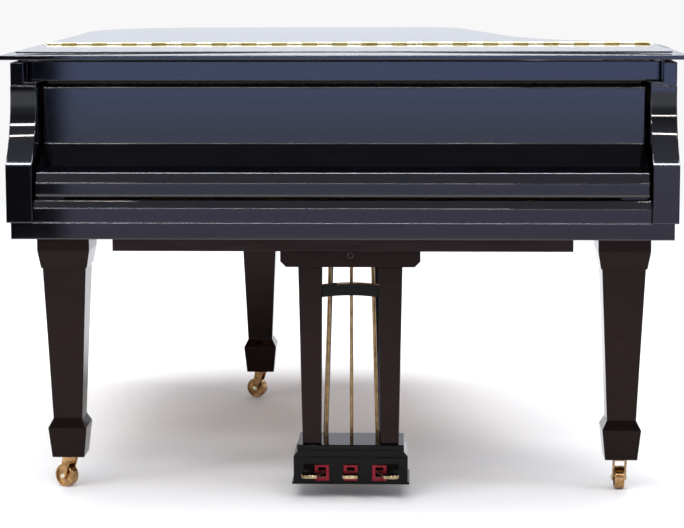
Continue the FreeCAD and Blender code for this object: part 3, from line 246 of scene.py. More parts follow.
def blackLacquer(name, low, high, gloss, mirror, tint):
    # Sprayed and buffed polyester: a deep wet black, mirror clear, with a slow waviness and light haze.
    finish, tree, shader, place = newFinish(name, {"IOR": 1.5, "Coat Weight": gloss, "Coat Roughness": 0.02,
                                                   "Coat IOR": 1.5, "Specular IOR Level": mirror,
                                                   "Specular Tint": linear(tint)})
    edge = addNode(tree, "ShaderNodeBevel", {"Radius": lacquerLook["easedEdge"]}, samples=8)
    wave = addNode(tree, "ShaderNodeTexNoise", {"Scale": 1 / lacquerLook["wave"], "Detail": 1.0},
                   {"Vector": place})
    swell = addNode(tree, "ShaderNodeBump", {"Strength": 0.10, "Distance": lacquerLook["waveDeep"]},
                    {"Height": wave.outputs["Fac"], "Normal": edge.outputs["Normal"]})
    haze = addNode(tree, "ShaderNodeTexNoise", {"Scale": 1 / lacquerLook["haze"], "Detail": 2.0},
                   {"Vector": place})
    clear, rubbed = lacquerLook["rough"]
    rub = addNode(tree, "ShaderNodeMapRange", {"To Min": clear, "To Max": rubbed},
                  {"Value": haze.outputs["Fac"]})
    tone = addNode(tree, "ShaderNodeMapping", {"Scale": lacquerLook["grainScale"]}, {"Vector": place})
    grain = addNode(tree, "ShaderNodeTexNoise", {"Scale": 1.0, "Detail": 5.0},
                    {"Vector": tone.outputs["Vector"]})
    tree.links.new(paintRamp(tree, grain.outputs["Fac"], [(0.35, low), (0.7, high)]),
                   shader.inputs["Base Color"])
    tree.links.new(rub.outputs["Result"], shader.inputs["Roughness"])
    tree.links.new(swell.outputs["Normal"], shader.inputs["Normal"])
    tree.links.new(edge.outputs["Normal"], shader.inputs["Coat Normal"])
    return finish


polishedBlack = blackLacquer("polishedBlackPolyester", "#040406", "#07070a", 0.25, 0.5, "#ffffff")
ebonisedWood = blackLacquer("ebonisedBeechLacquer", "#070404", "#0e0908", 0.0, 0.16, "#ffd9d2")
deepBlack = blackLacquer("deepBlackLacquer", "#030303", "#060505", 0.0, 0.12, "#ffffff")
beamBlack = blackLacquer("ebonisedBeamLacquer", "#171213", "#221c1d", 0.0, 0.16, "#ffd9d2")
dress(polishedBlack, "rim", "arm_left", "arm_right", "keyslip", "key_blocks", "stretcher", "lid_main",
      "lid_front", "fallboard", "music_desk", "keybed", "lid_prop")
dress(ebonisedWood, "leg_left", "leg_right", "leg_rear", "lyre_head", "lyre_posts")
dress(beamBlack, "keybed_beam")
# The fallboard pivots, brass plates in the recess between arm and fallboard, take this black as painted shade.
dress(deepBlack, "pedal_box", "lyre_guide", "fallboard_pivots")

# Sizes of the timber's patterns in metres, its range of roughness, and how far the grain is drawn out.
woodLook = {"fleck": 0.0022, "poreDeep": 0.0003, "rough": (0.38, 0.6), "drawn": 0.06}


def bareWood(name, dark, light, ringGap, along, gloss):
    # Planed timber under thin varnish: straight grain lines, flecked, with a soft shine.
    finish, tree, shader, place = newFinish(name, {"IOR": 1.45, "Coat Weight": gloss, "Coat Roughness": 0.25})
    stretch = {"x": (woodLook["drawn"], 1, 1), "y": (1, woodLook["drawn"], 1)}[along]
    run = addNode(tree, "ShaderNodeMapping", {"Scale": stretch}, {"Vector": place})
    rings = addNode(tree, "ShaderNodeTexNoise", {"Scale": 1 / ringGap, "Detail": 6.0, "Distortion": 0.4},
                    {"Vector": run.outputs["Vector"]})
    fleck = addNode(tree, "ShaderNodeTexNoise", {"Scale": 1 / woodLook["fleck"], "Detail": 2.0},
                    {"Vector": run.outputs["Vector"]})
    both = addNode(tree, "ShaderNodeMix", {"Factor": 0.3},
                   {"A": rings.outputs["Fac"], "B": fleck.outputs["Fac"]})
    planed, torn = woodLook["rough"]
    rough = addNode(tree, "ShaderNodeMapRange", {"To Min": planed, "To Max": torn},
                    {"Value": both.outputs["Result"]})
    pores = addNode(tree, "ShaderNodeBump", {"Strength": 0.15, "Distance": woodLook["poreDeep"]},
                    {"Height": both.outputs["Result"]})
    tree.links.new(paintRamp(tree, both.outputs["Result"], [(0.36, dark), (0.62, light)]),
                   shader.inputs["Base Color"])
    tree.links.new(rough.outputs["Result"], shader.inputs["Roughness"])
    tree.links.new(pores.outputs["Normal"], shader.inputs["Normal"])
    return finish


maple = bareWood("varnishedMaple", "#a87a49", "#d3a975", 0.012, "y", 0.2)
railMaple = bareWood("varnishedMapleRail", "#a87a49", "#cfa470", 0.012, "x", 0.2)
spruce = bareWood("varnishedSpruce", "#c08a46", "#e0b873", 0.005, "y", 0.45)
dress(maple, "inner_rim", "bridges")
dress(railMaple, "belly_rail", "pin_block", "key_frame", "action_rails", "desk_rails")
dress(spruce, "back_posts", "soundboard", "ribs")

# Sizes of the metals' patterns in metres.
metalLook = {"easedEdge": 0.0006, "grit": 0.0018, "gritDeep": 0.0002}


def metalFinish(name, dark, light, patch, roughLow, roughHigh, bump, metallic):
    # Cloudy tarnish and fine handling marks break the shine of every metal here.
    finish, tree, shader, place = newFinish(name, {"Metallic": metallic})
    edge = addNode(tree, "ShaderNodeBevel", {"Radius": metalLook["easedEdge"]}, samples=4)
    cloud = addNode(tree, "ShaderNodeTexNoise", {"Scale": 1 / patch, "Detail": 5.0}, {"Vector": place})
    rough = addNode(tree, "ShaderNodeMapRange", {"To Min": roughLow, "To Max": roughHigh},
                    {"Value": cloud.outputs["Fac"]})
    grit = addNode(tree, "ShaderNodeTexNoise", {"Scale": 1 / metalLook["grit"], "Detail": 2.0},
                   {"Vector": place})
    relief = addNode(tree, "ShaderNodeBump", {"Strength": bump, "Distance": metalLook["gritDeep"]},
                     {"Height": grit.outputs["Fac"], "Normal": edge.outputs["Normal"]})
    tree.links.new(paintRamp(tree, cloud.outputs["Fac"], [(0.3, dark), (0.7, light)]),
                   shader.inputs["Base Color"])
    tree.links.new(rough.outputs["Result"], shader.inputs["Roughness"])
    tree.links.new(relief.outputs["Normal"], shader.inputs["Normal"])
    return finish


brass = metalFinish("lacqueredBrass", "#7a5936", "#c49e6d", 0.012, 0.1, 0.24, 0.03, 1.0)
buffedBrass = metalFinish("buffedBrass", "#6e5a3c", "#c9b48c", 0.014, 0.08, 0.18, 0.02, 1.0)
burnishedSteel = metalFinish("burnishedSteel", "#2c2a28", "#4c4945", 0.008, 0.2, 0.32, 0.03, 1.0)
# Pale brass is the rivets' own pale metal and, on the long lid hinge, a painted highlight; the darker copy
# under it is painted shade on the same hinge brass.
paleBrass = metalFinish("paleBrassAndHingeHighlight", "#cfc6a5", "#ebe5cf", 0.03, 0.22, 0.36, 0.03, 1.0)
shadedHingeBrass = metalFinish("hingeBrassPaintedShade", "#877c59", "#a59b75", 0.03, 0.25, 0.4, 0.03, 1.0)
agedBrass = metalFinish("agedBrassRod", "#72583a", "#a98b62", 0.02, 0.25, 0.4, 0.05, 1.0)
goldIron = metalFinish("bronzedCastIron", "#a87c33", "#c79a48", 0.02, 0.32, 0.48, 0.35, 0.75)
nickel = metalFinish("nickelledSteel", "#a9a59c", "#d2cec4", 0.02, 0.18, 0.3, 0.03, 1.0)
blackSteel = metalFinish("blackEnamelSteel", "#0b0b0d", "#151518", 0.03, 0.25, 0.4, 0.1, 0.0)
# The long lid hinge is one brass: the main leaf's knuckles are painted pale as a painted highlight and the
# flap's knuckles darker as painted shade, so that they alternate light and dark.
dress(paleBrass, "lid_hinge_main")
dress(shadedHingeBrass, "lid_hinge_front")
dress(brass, "side_hinge_case", "side_hinge_lid", "caster_fork_left", "caster_fork_right", "caster_fork_rear",
      "caster_wheel_left", "caster_wheel_right", "caster_wheel_rear", "pedal_left", "pedal_middle",
      "pedal_right")
dress(agedBrass, "pedal_rod_left", "pedal_rod_middle", "pedal_rod_right")
dress(goldIron, "plate")
dress(nickel, "tuning_pins", "leg_plates", "caster_sockets")
dress(blackSteel, "lyre_braces")

# Music wire: bright drawn steel in the treble, copper windings on the bass strings that cross above.
wireLook = {"bassHeights": (0.9275, 0.9285), "turns": 0.004, "rough": (0.2, 0.4)}
wire, tree, shader, place = newFinish("musicWire", {"Metallic": 1.0})
height = addNode(tree, "ShaderNodeSeparateXYZ", links={"Vector": place}).outputs["Z"]
plainHigh, bassLow = wireLook["bassHeights"]
bassPart = addNode(tree, "ShaderNodeMapRange", {"From Min": plainHigh, "From Max": bassLow}, {"Value": height})
turns = addNode(tree, "ShaderNodeTexNoise", {"Scale": 1 / wireLook["turns"], "Detail": 2.0}, {"Vector": place})
bright, worn = wireLook["rough"]
shine = addNode(tree, "ShaderNodeMapRange", {"To Min": bright, "To Max": worn}, {"Value": turns.outputs["Fac"]})
tree.links.new(paintRamp(tree, bassPart.outputs["Result"], [(0.0, "#c9c6be"), (1.0, "#b06a3c")]),
               shader.inputs["Base Color"])
tree.links.new(shine.outputs["Result"], shader.inputs["Roughness"])
dress(wire, "strings")

# Moulded rubber: dull, faintly dusty black.
rubberLook = {"dust": 0.004, "rough": (0.6, 0.85)}
rubber, tree, shader, place = newFinish("mouldedRubber", {"Specular IOR Level": 0.3})
dust = addNode(tree, "ShaderNodeTexNoise", {"Scale": 1 / rubberLook["dust"], "Detail": 3.0}, {"Vector": place})
tree.links.new(paintRamp(tree, dust.outputs["Fac"], [(0.3, "#0e0e0e"), (0.75, "#1c1c1b")]),
               shader.inputs["Base Color"])
wiped, dusty = rubberLook["rough"]
dull = addNode(tree, "ShaderNodeMapRange", {"To Min": wiped, "To Max": dusty}, {"Value": dust.outputs["Fac"]})
tree.links.new(dull.outputs["Result"], shader.inputs["Roughness"])
dress(rubber, "lid_bumpers")

# Fibre length and depth of the nap in metres.
feltLook = {"fibre": 0.0012, "napDeep": 0.0005}


def woolFelt(name, dark, light):
    # Pressed wool: matt and fuzzy, fibres about a millimetre long, a pale bloom at the edges.
    finish, tree, shader, place = newFinish(name, {"Roughness": 0.95, "Sheen Weight": 0.5,
                                                   "Sheen Roughness": 0.5, "Specular IOR Level": 0.1})
    fibre = addNode(tree, "ShaderNodeTexNoise",
                    {"Scale": 1 / feltLook["fibre"], "Detail": 5.0, "Distortion": 1.2}, {"Vector": place})
    nap = addNode(tree, "ShaderNodeBump", {"Strength": 0.6, "Distance": feltLook["napDeep"]},
                  {"Height": fibre.outputs["Fac"]})
    tree.links.new(paintRamp(tree, fibre.outputs["Fac"], [(0.35, dark), (0.65, light)]),
                   shader.inputs["Base Color"])
    tree.links.new(nap.outputs["Normal"], shader.inputs["Normal"])
    return finish


redFelt = woolFelt("redWoolFelt", "#5c0615", "#8e0f26")
dress(redFelt, "pedal_felts")

# Grain and cloud sizes in metres, how far the grain is drawn out, and how rough bare timber is.
coverLook = {"drawn": 0.08, "grain": 0.005, "cloud": 0.011, "bareRough": 0.55}


def coveredPiece(name, bodyDark, bodyLight, coverDark, coverLight, cover, coverGloss):
    # Timber carrying a glued cover, which lies between two depths and two heights of the piece.
    finish, tree, shader, place = newFinish(name, {"IOR": 1.48, "Coat Weight": coverGloss,
                                                   "Coat Roughness": 0.08})
    axes = addNode(tree, "ShaderNodeSeparateXYZ", links={"Vector": place})
    inside = None
    for axis, test, limit in (("Y", "GREATER_THAN", cover["front"]), ("Y", "LESS_THAN", cover["back"]),
                              ("Z", "GREATER_THAN", cover["low"]), ("Z", "LESS_THAN", cover["high"])):
        step = addNode(tree, "ShaderNodeMath", {1: limit}, {0: axes.outputs[axis]},
                       operation=test).outputs["Value"]
        if inside is not None:
            step = addNode(tree, "ShaderNodeMath", links={0: step, 1: inside},
                           operation="MULTIPLY").outputs["Value"]
        inside = step
    run = addNode(tree, "ShaderNodeMapping", {"Scale": (1, coverLook["drawn"], 1)}, {"Vector": place})
    grain = addNode(tree, "ShaderNodeTexNoise", {"Scale": 1 / coverLook["grain"], "Detail": 5.0},
                    {"Vector": run.outputs["Vector"]})
    cloud = addNode(tree, "ShaderNodeTexNoise", {"Scale": 1 / coverLook["cloud"], "Detail": 3.0},
                    {"Vector": place})
    body = paintRamp(tree, grain.outputs["Fac"], [(0.35, bodyDark), (0.65, bodyLight)])
    top = paintRamp(tree, cloud.outputs["Fac"], [(0.3, coverDark), (0.7, coverLight)])
    blend = addNode(tree, "ShaderNodeMix", links={"Factor": inside}, data_type="RGBA")
    tree.links.new(body, blend.inputs["A"])
    tree.links.new(top, blend.inputs["B"])
    rough = addNode(tree, "ShaderNodeMapRange", {"To Min": coverLook["bareRough"], "To Max": cover["rough"]},
                    {"Value": inside})
    tree.links.new(blend.outputs["Result"], shader.inputs["Base Color"])
    tree.links.new(rough.outputs["Result"], shader.inputs["Roughness"])
    return finish


# Covers, measured from the box of each row of pieces.
covers = {"whiteLong": 0.152, "whiteThick": 0.0026, "blackLong": 0.1, "blackTall": 0.0122,
          "hammerLong": 0.0215, "hammerTall": 0.026, "damperFrom": 0.9, "damperCap": 0.014,
          "beyond": 2}  # past every piece, where a cover has no limit
low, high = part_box("white_keys")
acrylicKey = coveredPiece("acrylicToppedKey", "#b98e58", "#d8b27c", "#efeadb", "#f8f5ea",
                          {"front": -covers["beyond"], "back": low.y + covers["whiteLong"],
                           "low": high.z - covers["whiteThick"], "high": covers["beyond"], "rough": 0.12}, 0.2)
dress(acrylicKey, "white_keys")
low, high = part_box("black_keys")
ebonyKey = coveredPiece("ebonyToppedKey", "#b98e58", "#d8b27c", "#0c0b0b", "#181615",
                        {"front": -covers["beyond"], "back": low.y + covers["blackLong"],
                         "low": high.z - covers["blackTall"], "high": covers["beyond"], "rough": 0.3}, 0.1)
dress(ebonyKey, "black_keys")
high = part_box("hammers_white")[1]
hammerFelt = coveredPiece("feltedHammer", "#b98e58", "#d8b27c", "#dcd6c6", "#f0ece0",
                          {"front": high.y - covers["hammerLong"], "back": covers["beyond"],
                           "low": high.z - covers["hammerTall"], "high": covers["beyond"], "rough": 0.95}, 0.0)
dress(hammerFelt, "hammers_white", "hammers_black")
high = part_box("dampers")[1]
damperFelt = coveredPiece("feltedDamper", "#0d0c0c", "#191716", "#d9d4c5", "#efebdf",
                          {"front": -covers["beyond"], "back": covers["beyond"], "low": covers["damperFrom"],
                           "high": high.z - covers["damperCap"], "rough": 0.95}, 0.0)
dress(damperFelt, "dampers")
print("finishes set")


def clearSelection():
    if bpy.context.mode != "OBJECT":
        bpy.ops.object.mode_set(mode="OBJECT")
    bpy.ops.object.select_all(action="DESELECT")


def pickPieces(*pieces):
    # selects these objects alone, with the first one active
    clearSelection()
    for piece in pieces:
        piece.select_set(True)
    bpy.context.view_layer.objects.active = pieces[0]


def clearMesh(piece):
    # leaves nothing of the mesh selected, in object mode
    bpy.ops.object.mode_set(mode="OBJECT")
    for part in (piece.data.vertices, piece.data.edges, piece.data.polygons):
        part.foreach_set("select", [False] * len(part))


def pickFaces(piece, test):
    # leaves only the faces selected whose centre and normal pass the test
    clearMesh(piece)
    for face in piece.data.polygons:
        face.select = test(face.center, face.normal)
    bpy.ops.object.mode_set(mode="EDIT")


def pickPoints(piece, chosen):
    # leaves only these points selected
    clearMesh(piece)
    for index in chosen:
        piece.data.vertices[index].select = True
    bpy.ops.object.mode_set(mode="EDIT")


def finishPiece(piece, name, body, finish, angle=35):
    # its place goes into the mesh, then come the finish and the body it moves with
    pickPieces(piece)
    bpy.ops.object.transform_apply(location=True, rotation=True, scale=True)
    bpy.ops.object.shade_smooth_by_angle(angle=math.radians(angle))
    piece.name = name
    piece.data.materials.clear()
    piece.data.materials.append(finish)
    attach(piece, body)


def joinCopies(model, places):
    # copies of one modelled piece, each turned and put in its place, joined to one object
    copies = []
    for spot, turn in places:
        copy = model.copy()
        copy.data = model.data.copy()
        copy.location = spot
        copy.rotation_euler = turn
        bpy.context.collection.objects.link(copy)
        copies.append(copy)
    bpy.data.objects.remove(model)
    pickPieces(*copies)
    bpy.ops.object.transform_apply(location=True, rotation=True, scale=True)
    bpy.ops.object.join()
    return bpy.context.object


# Screw heads: the driver slot as shares of radius and rise, and how straight up a top face looks.
screwHead = {"sides": 18, "slotHalf": 0.17, "slotDeep": 0.55, "upright": 0.9}


def slottedScrew(radius, rise):
    # a round head with a driver slot, which is pressed in between two cuts
    clearSelection()
    bpy.ops.mesh.primitive_cylinder_add(vertices=screwHead["sides"], radius=radius, depth=rise,
                                        location=(0, 0, rise / 2))
    screw = bpy.context.object
    bpy.ops.object.transform_apply(location=True)
    slot = radius * screwHead["slotHalf"]
    bpy.ops.object.mode_set(mode="EDIT")
    for side in (-slot, slot):
        bpy.ops.mesh.select_all(action="SELECT")
        bpy.ops.mesh.bisect(plane_co=(side, 0, 0), plane_no=(1, 0, 0))
    pickFaces(screw, lambda middle, normal: normal.z > screwHead["upright"] and abs(middle.x) < slot)
    bpy.ops.mesh.extrude_region_move(TRANSFORM_OT_translate={"value": (0, 0, -rise * screwHead["slotDeep"])})
    bpy.ops.object.mode_set(mode="OBJECT")
    return screw


# Screws of the long lid hinge, one row on each leaf, each slot turned a little further.
hingeScrews = {"radius": 0.0027, "rise": 0.0006, "sink": 0.0001, "pitch": 0.072, "margin": 0.02, "twist": 0.7,
               "fromLine": 0.0112, "line": armFront + 0.442}
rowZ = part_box("lid_main")[1].z - hingeScrews["sink"]
rowHalf = int((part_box("lid_hinge_main")[1].x - hingeScrews["margin"]) / hingeScrews["pitch"])
for name, body, side in (("hingeScrewsMain", "lid", 1), ("hingeScrewsFlap", "lid_flap", -1)):
    rowY = hingeScrews["line"] + side * hingeScrews["fromLine"]
    spots = [((step * hingeScrews["pitch"], rowY, rowZ), (0, 0, hingeScrews["twist"] * step))
             for step in range(-rowHalf, rowHalf + 1)]
    screws = joinCopies(slottedScrew(hingeScrews["radius"], hingeScrews["rise"]), spots)
    finishPiece(screws, name, body, brass)

# Screws of the two side hinges, on the case leaves.
sideScrews = {"radius": 0.0036, "rise": 0.0006, "sink": 0.0001, "leafThick": 0.0018, "height": 0.957,
              "hingeLength": 0.07, "shares": (0.18, 0.5, 0.82)}
low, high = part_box("side_hinge_case")
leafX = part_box("rim")[0].x - sideScrews["leafThick"] + sideScrews["sink"]
spots = []
for start in (low.y, high.y - sideScrews["hingeLength"]):
    for share in sideScrews["shares"]:
        spots.append(((leafX, start + share * sideScrews["hingeLength"], sideScrews["height"]),
                      (0, -math.pi / 2, 0)))
screws = joinCopies(slottedScrew(sideScrews["radius"], sideScrews["rise"]), spots)
finishPiece(screws, "sideHingeScrews", "case", brass)
print("hinge screws made")


def easedBar(low, high, ease, segments=2):
    # a bar between two corners with eased edges
    clearSelection()
    middle = [(a + b) / 2 for a, b in zip(low, high)]
    bpy.ops.mesh.primitive_cube_add(size=1, location=middle, scale=[b - a for a, b in zip(low, high)])
    bar = bpy.context.object
    bpy.ops.object.transform_apply(location=True, rotation=True, scale=True)
    bpy.ops.object.mode_set(mode="EDIT")
    bpy.ops.mesh.select_all(action="SELECT")
    bpy.ops.mesh.bevel(offset=ease, segments=segments, affect="EDGES")
    bpy.ops.object.mode_set(mode="OBJECT")
    return bar


# Felt under the stretcher, which closes the gap above the fallboard; its black is painted shade, so that the
# gap reads as the dark line that shade makes there.
gapShadeStrip = {"half": 0.668, "front": 0.1415, "back": 0.1485, "low": 0.9365, "ease": 0.0008}
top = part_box("stretcher")[0].z
strip = easedBar((-gapShadeStrip["half"], armFront + gapShadeStrip["front"], gapShadeStrip["low"]),
                 (gapShadeStrip["half"], armFront + gapShadeStrip["back"], top), gapShadeStrip["ease"])
# black felt: painted shade in the gap under the stretcher
feltForGapShade = woolFelt("gapShadeWoolFelt", "#0a0a0b", "#161617")
finishPiece(strip, "gapShadeStrip", "case", feltForGapShade)

# Name board rail behind the keys, between the key blocks, with the red key felt under it.
nameRail = {"half": 0.616, "front": 0.1865, "back": 0.1955, "low": 0.7165, "high": 0.737, "ease": 0.0015}
rail = easedBar((-nameRail["half"], armFront + nameRail["front"], nameRail["low"]),
                (nameRail["half"], armFront + nameRail["back"], nameRail["high"]), nameRail["ease"])
finishPiece(rail, "nameBoardRail", "case", polishedBlack)
keyFelt = {"low": 0.7133, "ease": 0.0008, "step": 0.0012}
strip = easedBar((-nameRail["half"], armFront + nameRail["front"] - keyFelt["step"], keyFelt["low"]),
                 (nameRail["half"], armFront + nameRail["back"] - keyFelt["step"], nameRail["low"]),
                 keyFelt["ease"])
finishPiece(strip, "keyFelt", "case", redFelt)
print("felts made")


def turnedKnob(profile, sides):
    # a turned piece: the first ring is drawn, then extruded and widened ring by ring, by radius and height
    clearSelection()
    radius, height = profile[0]
    bpy.ops.mesh.primitive_circle_add(vertices=sides, radius=radius, fill_type="NGON", location=(0, 0, height))
    knob = bpy.context.object
    bpy.ops.object.transform_apply(location=True)
    bpy.ops.object.mode_set(mode="EDIT")
    bpy.ops.mesh.select_all(action="SELECT")
    for wide, tall in profile[1:]:
        bpy.ops.mesh.extrude_region_move(TRANSFORM_OT_translate={"value": (0, 0, tall - height)})
        ratio = wide / radius
        bpy.ops.transform.resize(value=(ratio, ratio, 1), center_override=(0, 0, tall))
        radius, height = wide, tall
    bpy.ops.mesh.select_all(action="SELECT")
    bpy.ops.mesh.normals_make_consistent(inside=False)
    bpy.ops.object.mode_set(mode="OBJECT")
    return knob


# Bolt in the front of the lyre head: a darkened rim round a deep socket.
headBolt = {"place": (0.018, armFront + 0.064, 0.5565), "sides": 28,
            "profile": [(0.0072, -0.002), (0.0072, 0.0006), (0.0066, 0.0012), (0.0050, 0.0012),
                        (0.0044, 0.0004), (0.0040, -0.0014)]}
bolt = joinCopies(turnedKnob(headBolt["profile"], headBolt["sides"]),
                  [(headBolt["place"], (math.pi / 2, 0, 0))])
finishPiece(bolt, "lyreHeadBolt", "case", burnishedSteel)

# Pedal box front: the nosing of its top board, and a bead along the shoulder under it.
boxFront = {"centre": 0.018, "face": 0.062, "root": 0.004, "ease": 0.0012, "easeSteps": 3,
            "nosing": {"half": 0.1205, "low": 0.1118, "high": 0.1252, "proud": 0.003},
            "bead": {"half": 0.1294, "low": 0.0938, "high": 0.0978, "proud": 0.0016}}
front = armFront + boxFront["face"]
bars = []
for strip in (boxFront["nosing"], boxFront["bead"]):
    bars.append(easedBar((boxFront["centre"] - strip["half"], front - strip["proud"], strip["low"]),
                         (boxFront["centre"] + strip["half"], front + boxFront["root"], strip["high"]),
                         boxFront["ease"], boxFront["easeSteps"]))
pickPieces(*bars)
bpy.ops.object.join()
finishPiece(bpy.context.object, "boxMouldings", "case", deepBlack)
print("pedal box moulded")

# Casters: domed rivets on the axle ends, and a collar under each foot.
casters = {"left": (-0.633, 0.159, 60), "right": (0.633, 0.159, 0),  # across, depth, turn in degrees
           "rear": (-0.262, 1.15, 70)}
casterSizes = {"trail": 0.013, "axleHeight": 0.0265, "cheekOut": 0.0155, "footLow": 0.078, "nearAxis": 0.001,
               "rivetSides": 20, "collarSides": 40}
rivetProfile = [(0.0060, -0.0006), (0.0060, 0.0008), (0.0052, 0.0022), (0.0034, 0.0032), (0.0012, 0.0036)]
collarProfile = [(0.0222, 0.0), (0.0272, 0.0), (0.0272, -0.0012), (0.0248, -0.0034), (0.0222, -0.0034)]
for name, (footX, footDepth, turn) in casters.items():
    angle = math.radians(turn)
    spots = []
    for side in (-1, 1):
        along = Vector((side * casterSizes["cheekOut"], casterSizes["trail"], 0))
        spotX = along.x * math.cos(angle) - along.y * math.sin(angle)
        spotY = along.x * math.sin(angle) + along.y * math.cos(angle)
        spots.append(((footX + spotX, armFront + footDepth + spotY, casterSizes["axleHeight"]),
                      (0, side * math.pi / 2, angle)))
    rivets = joinCopies(turnedKnob(rivetProfile, casterSizes["rivetSides"]), spots)
    finishPiece(rivets, "axleRivets" + name.title(), "caster_" + name, paleBrass)
print("rivets made")

for name in casters:
    footX, footDepth = casters[name][:2]
    collar = turnedKnob(collarProfile, casterSizes["collarSides"])
    # the two end faces go, and a wall between their rims makes the hole for the stem
    pickFaces(collar, lambda middle, normal: math.hypot(middle.x, middle.y) < casterSizes["nearAxis"])
    bpy.ops.mesh.delete(type="ONLY_FACE")
    bpy.ops.mesh.select_mode(type="EDGE")
    bpy.ops.mesh.select_all(action="DESELECT")
    bpy.ops.mesh.select_non_manifold(extend=False)
    bpy.ops.mesh.bridge_edge_loops()
    bpy.ops.mesh.select_all(action="SELECT")
    bpy.ops.mesh.normals_make_consistent(inside=False)
    bpy.ops.mesh.select_mode(type="VERT")
    bpy.ops.object.mode_set(mode="OBJECT")
    collar.location = (footX, armFront + footDepth, casterSizes["footLow"])
    finishPiece(collar, "footCollar" + name.title(), "case", brass)
print("collars made")

# Pedals: forged brass levers that leave the box, bend outwards and end in a rounded toe.
pedals = {"centre": 0.018, "pitch": 0.065, "swing": 0.026, "rounding": 0.0026, "roundSteps": 3,
          "smoothLevels": 2, "shadeAngle": 60,
          # depth, share of the swing, half width, underside, top
          "stations": [(0.158, 0.0, 0.0072, 0.0585, 0.0685), (0.100, 0.0, 0.0072, 0.0585, 0.0685),
                       (0.062, 0.0, 0.0074, 0.0585, 0.0688), (0.050, 0.22, 0.0096, 0.0586, 0.0688),
                       (0.041, 0.58, 0.0140, 0.0588, 0.0689), (0.031, 0.92, 0.0182, 0.0590, 0.0690),
                       (0.021, 1.0, 0.0194, 0.0592, 0.0690), (0.011, 1.0, 0.0176, 0.0594, 0.0688),
                       (0.0052, 1.0, 0.0120, 0.0600, 0.0678)]}
for name, side in (("left", -1), ("middle", 0), ("right", 1)):
    clearSelection()
    rootX = pedals["centre"] + side * pedals["pitch"]
    depth, _, half, under, over = pedals["stations"][0]
    middle = Vector((rootX, armFront + depth, (under + over) / 2))
    bpy.ops.mesh.primitive_plane_add(size=1, location=middle, rotation=(math.pi / 2, 0, 0))
    lever = bpy.context.object
    lever.scale = (2 * half, over - under, 1)
    bpy.ops.object.transform_apply(location=True, rotation=True, scale=True)
    bpy.ops.object.mode_set(mode="EDIT")
    bpy.ops.mesh.select_all(action="SELECT")
    for depth, share, wide, low, high in pedals["stations"][1:]:
        reach = Vector((rootX + side * share * pedals["swing"], armFront + depth, (low + high) / 2))
        bpy.ops.mesh.extrude_region_move(TRANSFORM_OT_translate={"value": reach - middle})
        bpy.ops.transform.resize(value=(wide / half, 1, (high - low) / (over - under)), center_override=reach)
        middle, half, under, over = reach, wide, low, high
    bpy.ops.mesh.select_all(action="SELECT")
    bpy.ops.mesh.normals_make_consistent(inside=False)
    bpy.ops.object.mode_set(mode="OBJECT")
    rounding = lever.modifiers.new("rounding", "BEVEL")
    rounding.width = pedals["rounding"]
    rounding.segments = pedals["roundSteps"]
    rounding.limit_method = "ANGLE"
    smooth = lever.modifiers.new("smooth", "SUBSURF")
    smooth.levels = smooth.render_levels = pedals["smoothLevels"]
    for modifier in ("rounding", "smooth"):
        bpy.ops.object.modifier_apply(modifier=modifier)
    finishPiece(lever, "forgedPedal" + name.title(), "pedal_" + name, buffedBrass,
                pedals["shadeAngle"])
    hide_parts("pedal_" + name)
print("pedals made")

mergeGap = 0.00001  # points nearer than this become one


def mergedCopy(name):
    # a copy of a CAD node with its loose triangles joined and its own shading dropped, left in edit mode
    piece = nodes[name].copy()
    piece.data = nodes[name].data.copy()
    bpy.context.collection.objects.link(piece)
    pickPieces(piece)
    bpy.ops.mesh.customdata_custom_splitnormals_clear()
    bpy.ops.object.mode_set(mode="EDIT")
    bpy.ops.mesh.select_all(action="SELECT")
    bpy.ops.mesh.remove_doubles(threshold=mergeGap)
    return piece


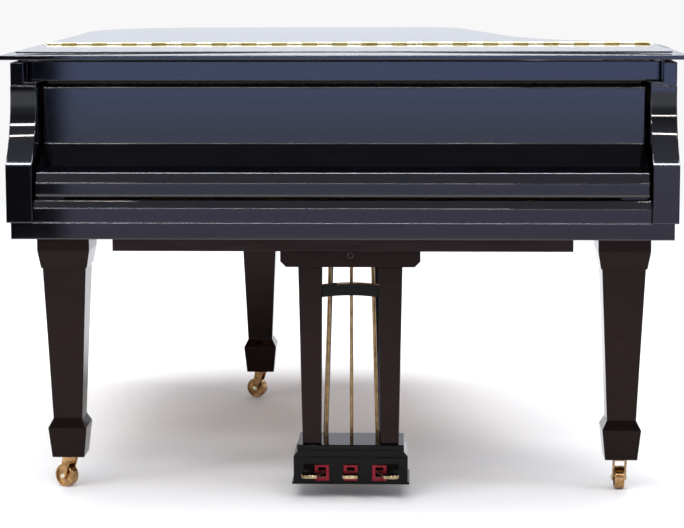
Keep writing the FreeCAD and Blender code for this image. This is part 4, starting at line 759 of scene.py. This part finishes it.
# Lid edge: the bevel becomes a nearly flat tread, between a thicker lip and a sharp step up to the top.
lidEdge = {"lipRise": 0.0032, "treadDrop": 0.0054, "level": 0.0001,
           "slopes": (0.8, 0.985)}  # the upward part of the bevel's normals lies between these
steep, flat = lidEdge["slopes"]
for nodeName, name, body in (("lid_main", "steppedLidMain", "lid"),
                             ("lid_front", "steppedLidFlap", "lid_flap")):
    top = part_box(nodeName)[1].z - lidEdge["level"]
    board = mergedCopy(nodeName)
    pickFaces(board, lambda middle, normal: normal.z > flat and middle.z > top)
    # extruded by nothing, so that the bevel's inner rim can go down and leave a wall under the top
    bpy.ops.mesh.extrude_region_move(TRANSFORM_OT_translate={"value": (0, 0, 0)})
    bpy.ops.object.mode_set(mode="OBJECT")
    bevelPoints = {index for face in board.data.polygons if steep < face.normal.z < flat
                   for index in face.vertices}
    inner = {index for index in bevelPoints if board.data.vertices[index].co.z > top}
    for points, rise in ((inner, -lidEdge["treadDrop"]), (bevelPoints - inner, lidEdge["lipRise"])):
        pickPoints(board, points)
        bpy.ops.transform.translate(value=(0, 0, rise))
    bpy.ops.mesh.select_all(action="SELECT")
    bpy.ops.mesh.remove_doubles(threshold=mergeGap)
    bpy.ops.object.mode_set(mode="OBJECT")
    finishPiece(board, name, body, polishedBlack)
    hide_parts(nodeName)
print("lid edges stepped")

# Unison strings: each plain string gets a neighbour on either side, as the hammers strike three at once.
unisons = {"gap": 0.0023, "plainTop": 0.9279}
single = mergedCopy("strings")
pickFaces(single, lambda middle, normal: middle.z > unisons["plainTop"])
bpy.ops.mesh.select_linked()
bpy.ops.mesh.delete(type="FACE")
bpy.ops.object.mode_set(mode="OBJECT")
pair = joinCopies(single, [((side * unisons["gap"], 0, 0), (0, 0, 0)) for side in (-1, 1)])
finishPiece(pair, "unisonStrings", "case", wire)
print("unison strings made")

# Plate bolts along the pin block web, the spine and the tail, their slots turned every way.
plateBolts = {"radius": 0.0085, "rise": 0.0042, "height": 0.911, "webDepth": 0.351, "webPitch": 0.19,
              "webSteps": range(-3, 4), "spineX": -0.678, "spineDepths": (0.56, 0.74, 0.92, 1.10),
              "spineTwist": 9, "tailDepth": 1.484, "tailX": (-0.36, -0.2, -0.04), "tailTwist": 7}
boltRows = [(step * plateBolts["webPitch"], plateBolts["webDepth"], step) for step in plateBolts["webSteps"]]
boltRows += [(plateBolts["spineX"], depth, plateBolts["spineTwist"] * depth)
             for depth in plateBolts["spineDepths"]]
boltRows += [(x, plateBolts["tailDepth"], plateBolts["tailTwist"] * x) for x in plateBolts["tailX"]]
spots = [((x, armFront + depth, plateBolts["height"]), (0, 0, twist)) for x, depth, twist in boltRows]
bolts = joinCopies(slottedScrew(plateBolts["radius"], plateBolts["rise"]), spots)
finishPiece(bolts, "plateBolts", "case", nickel)

# Felt on the plate under the strings, behind the tuning pins.
stringFelt = {"half": 0.62, "front": 0.4555, "back": 0.474, "low": 0.911, "high": 0.9145, "ease": 0.001}
strip = easedBar((-stringFelt["half"], armFront + stringFelt["front"], stringFelt["low"]),
                 (stringFelt["half"], armFront + stringFelt["back"], stringFelt["high"]), stringFelt["ease"])
finishPiece(strip, "stringFelt", "case", redFelt)
print("plate dressed")
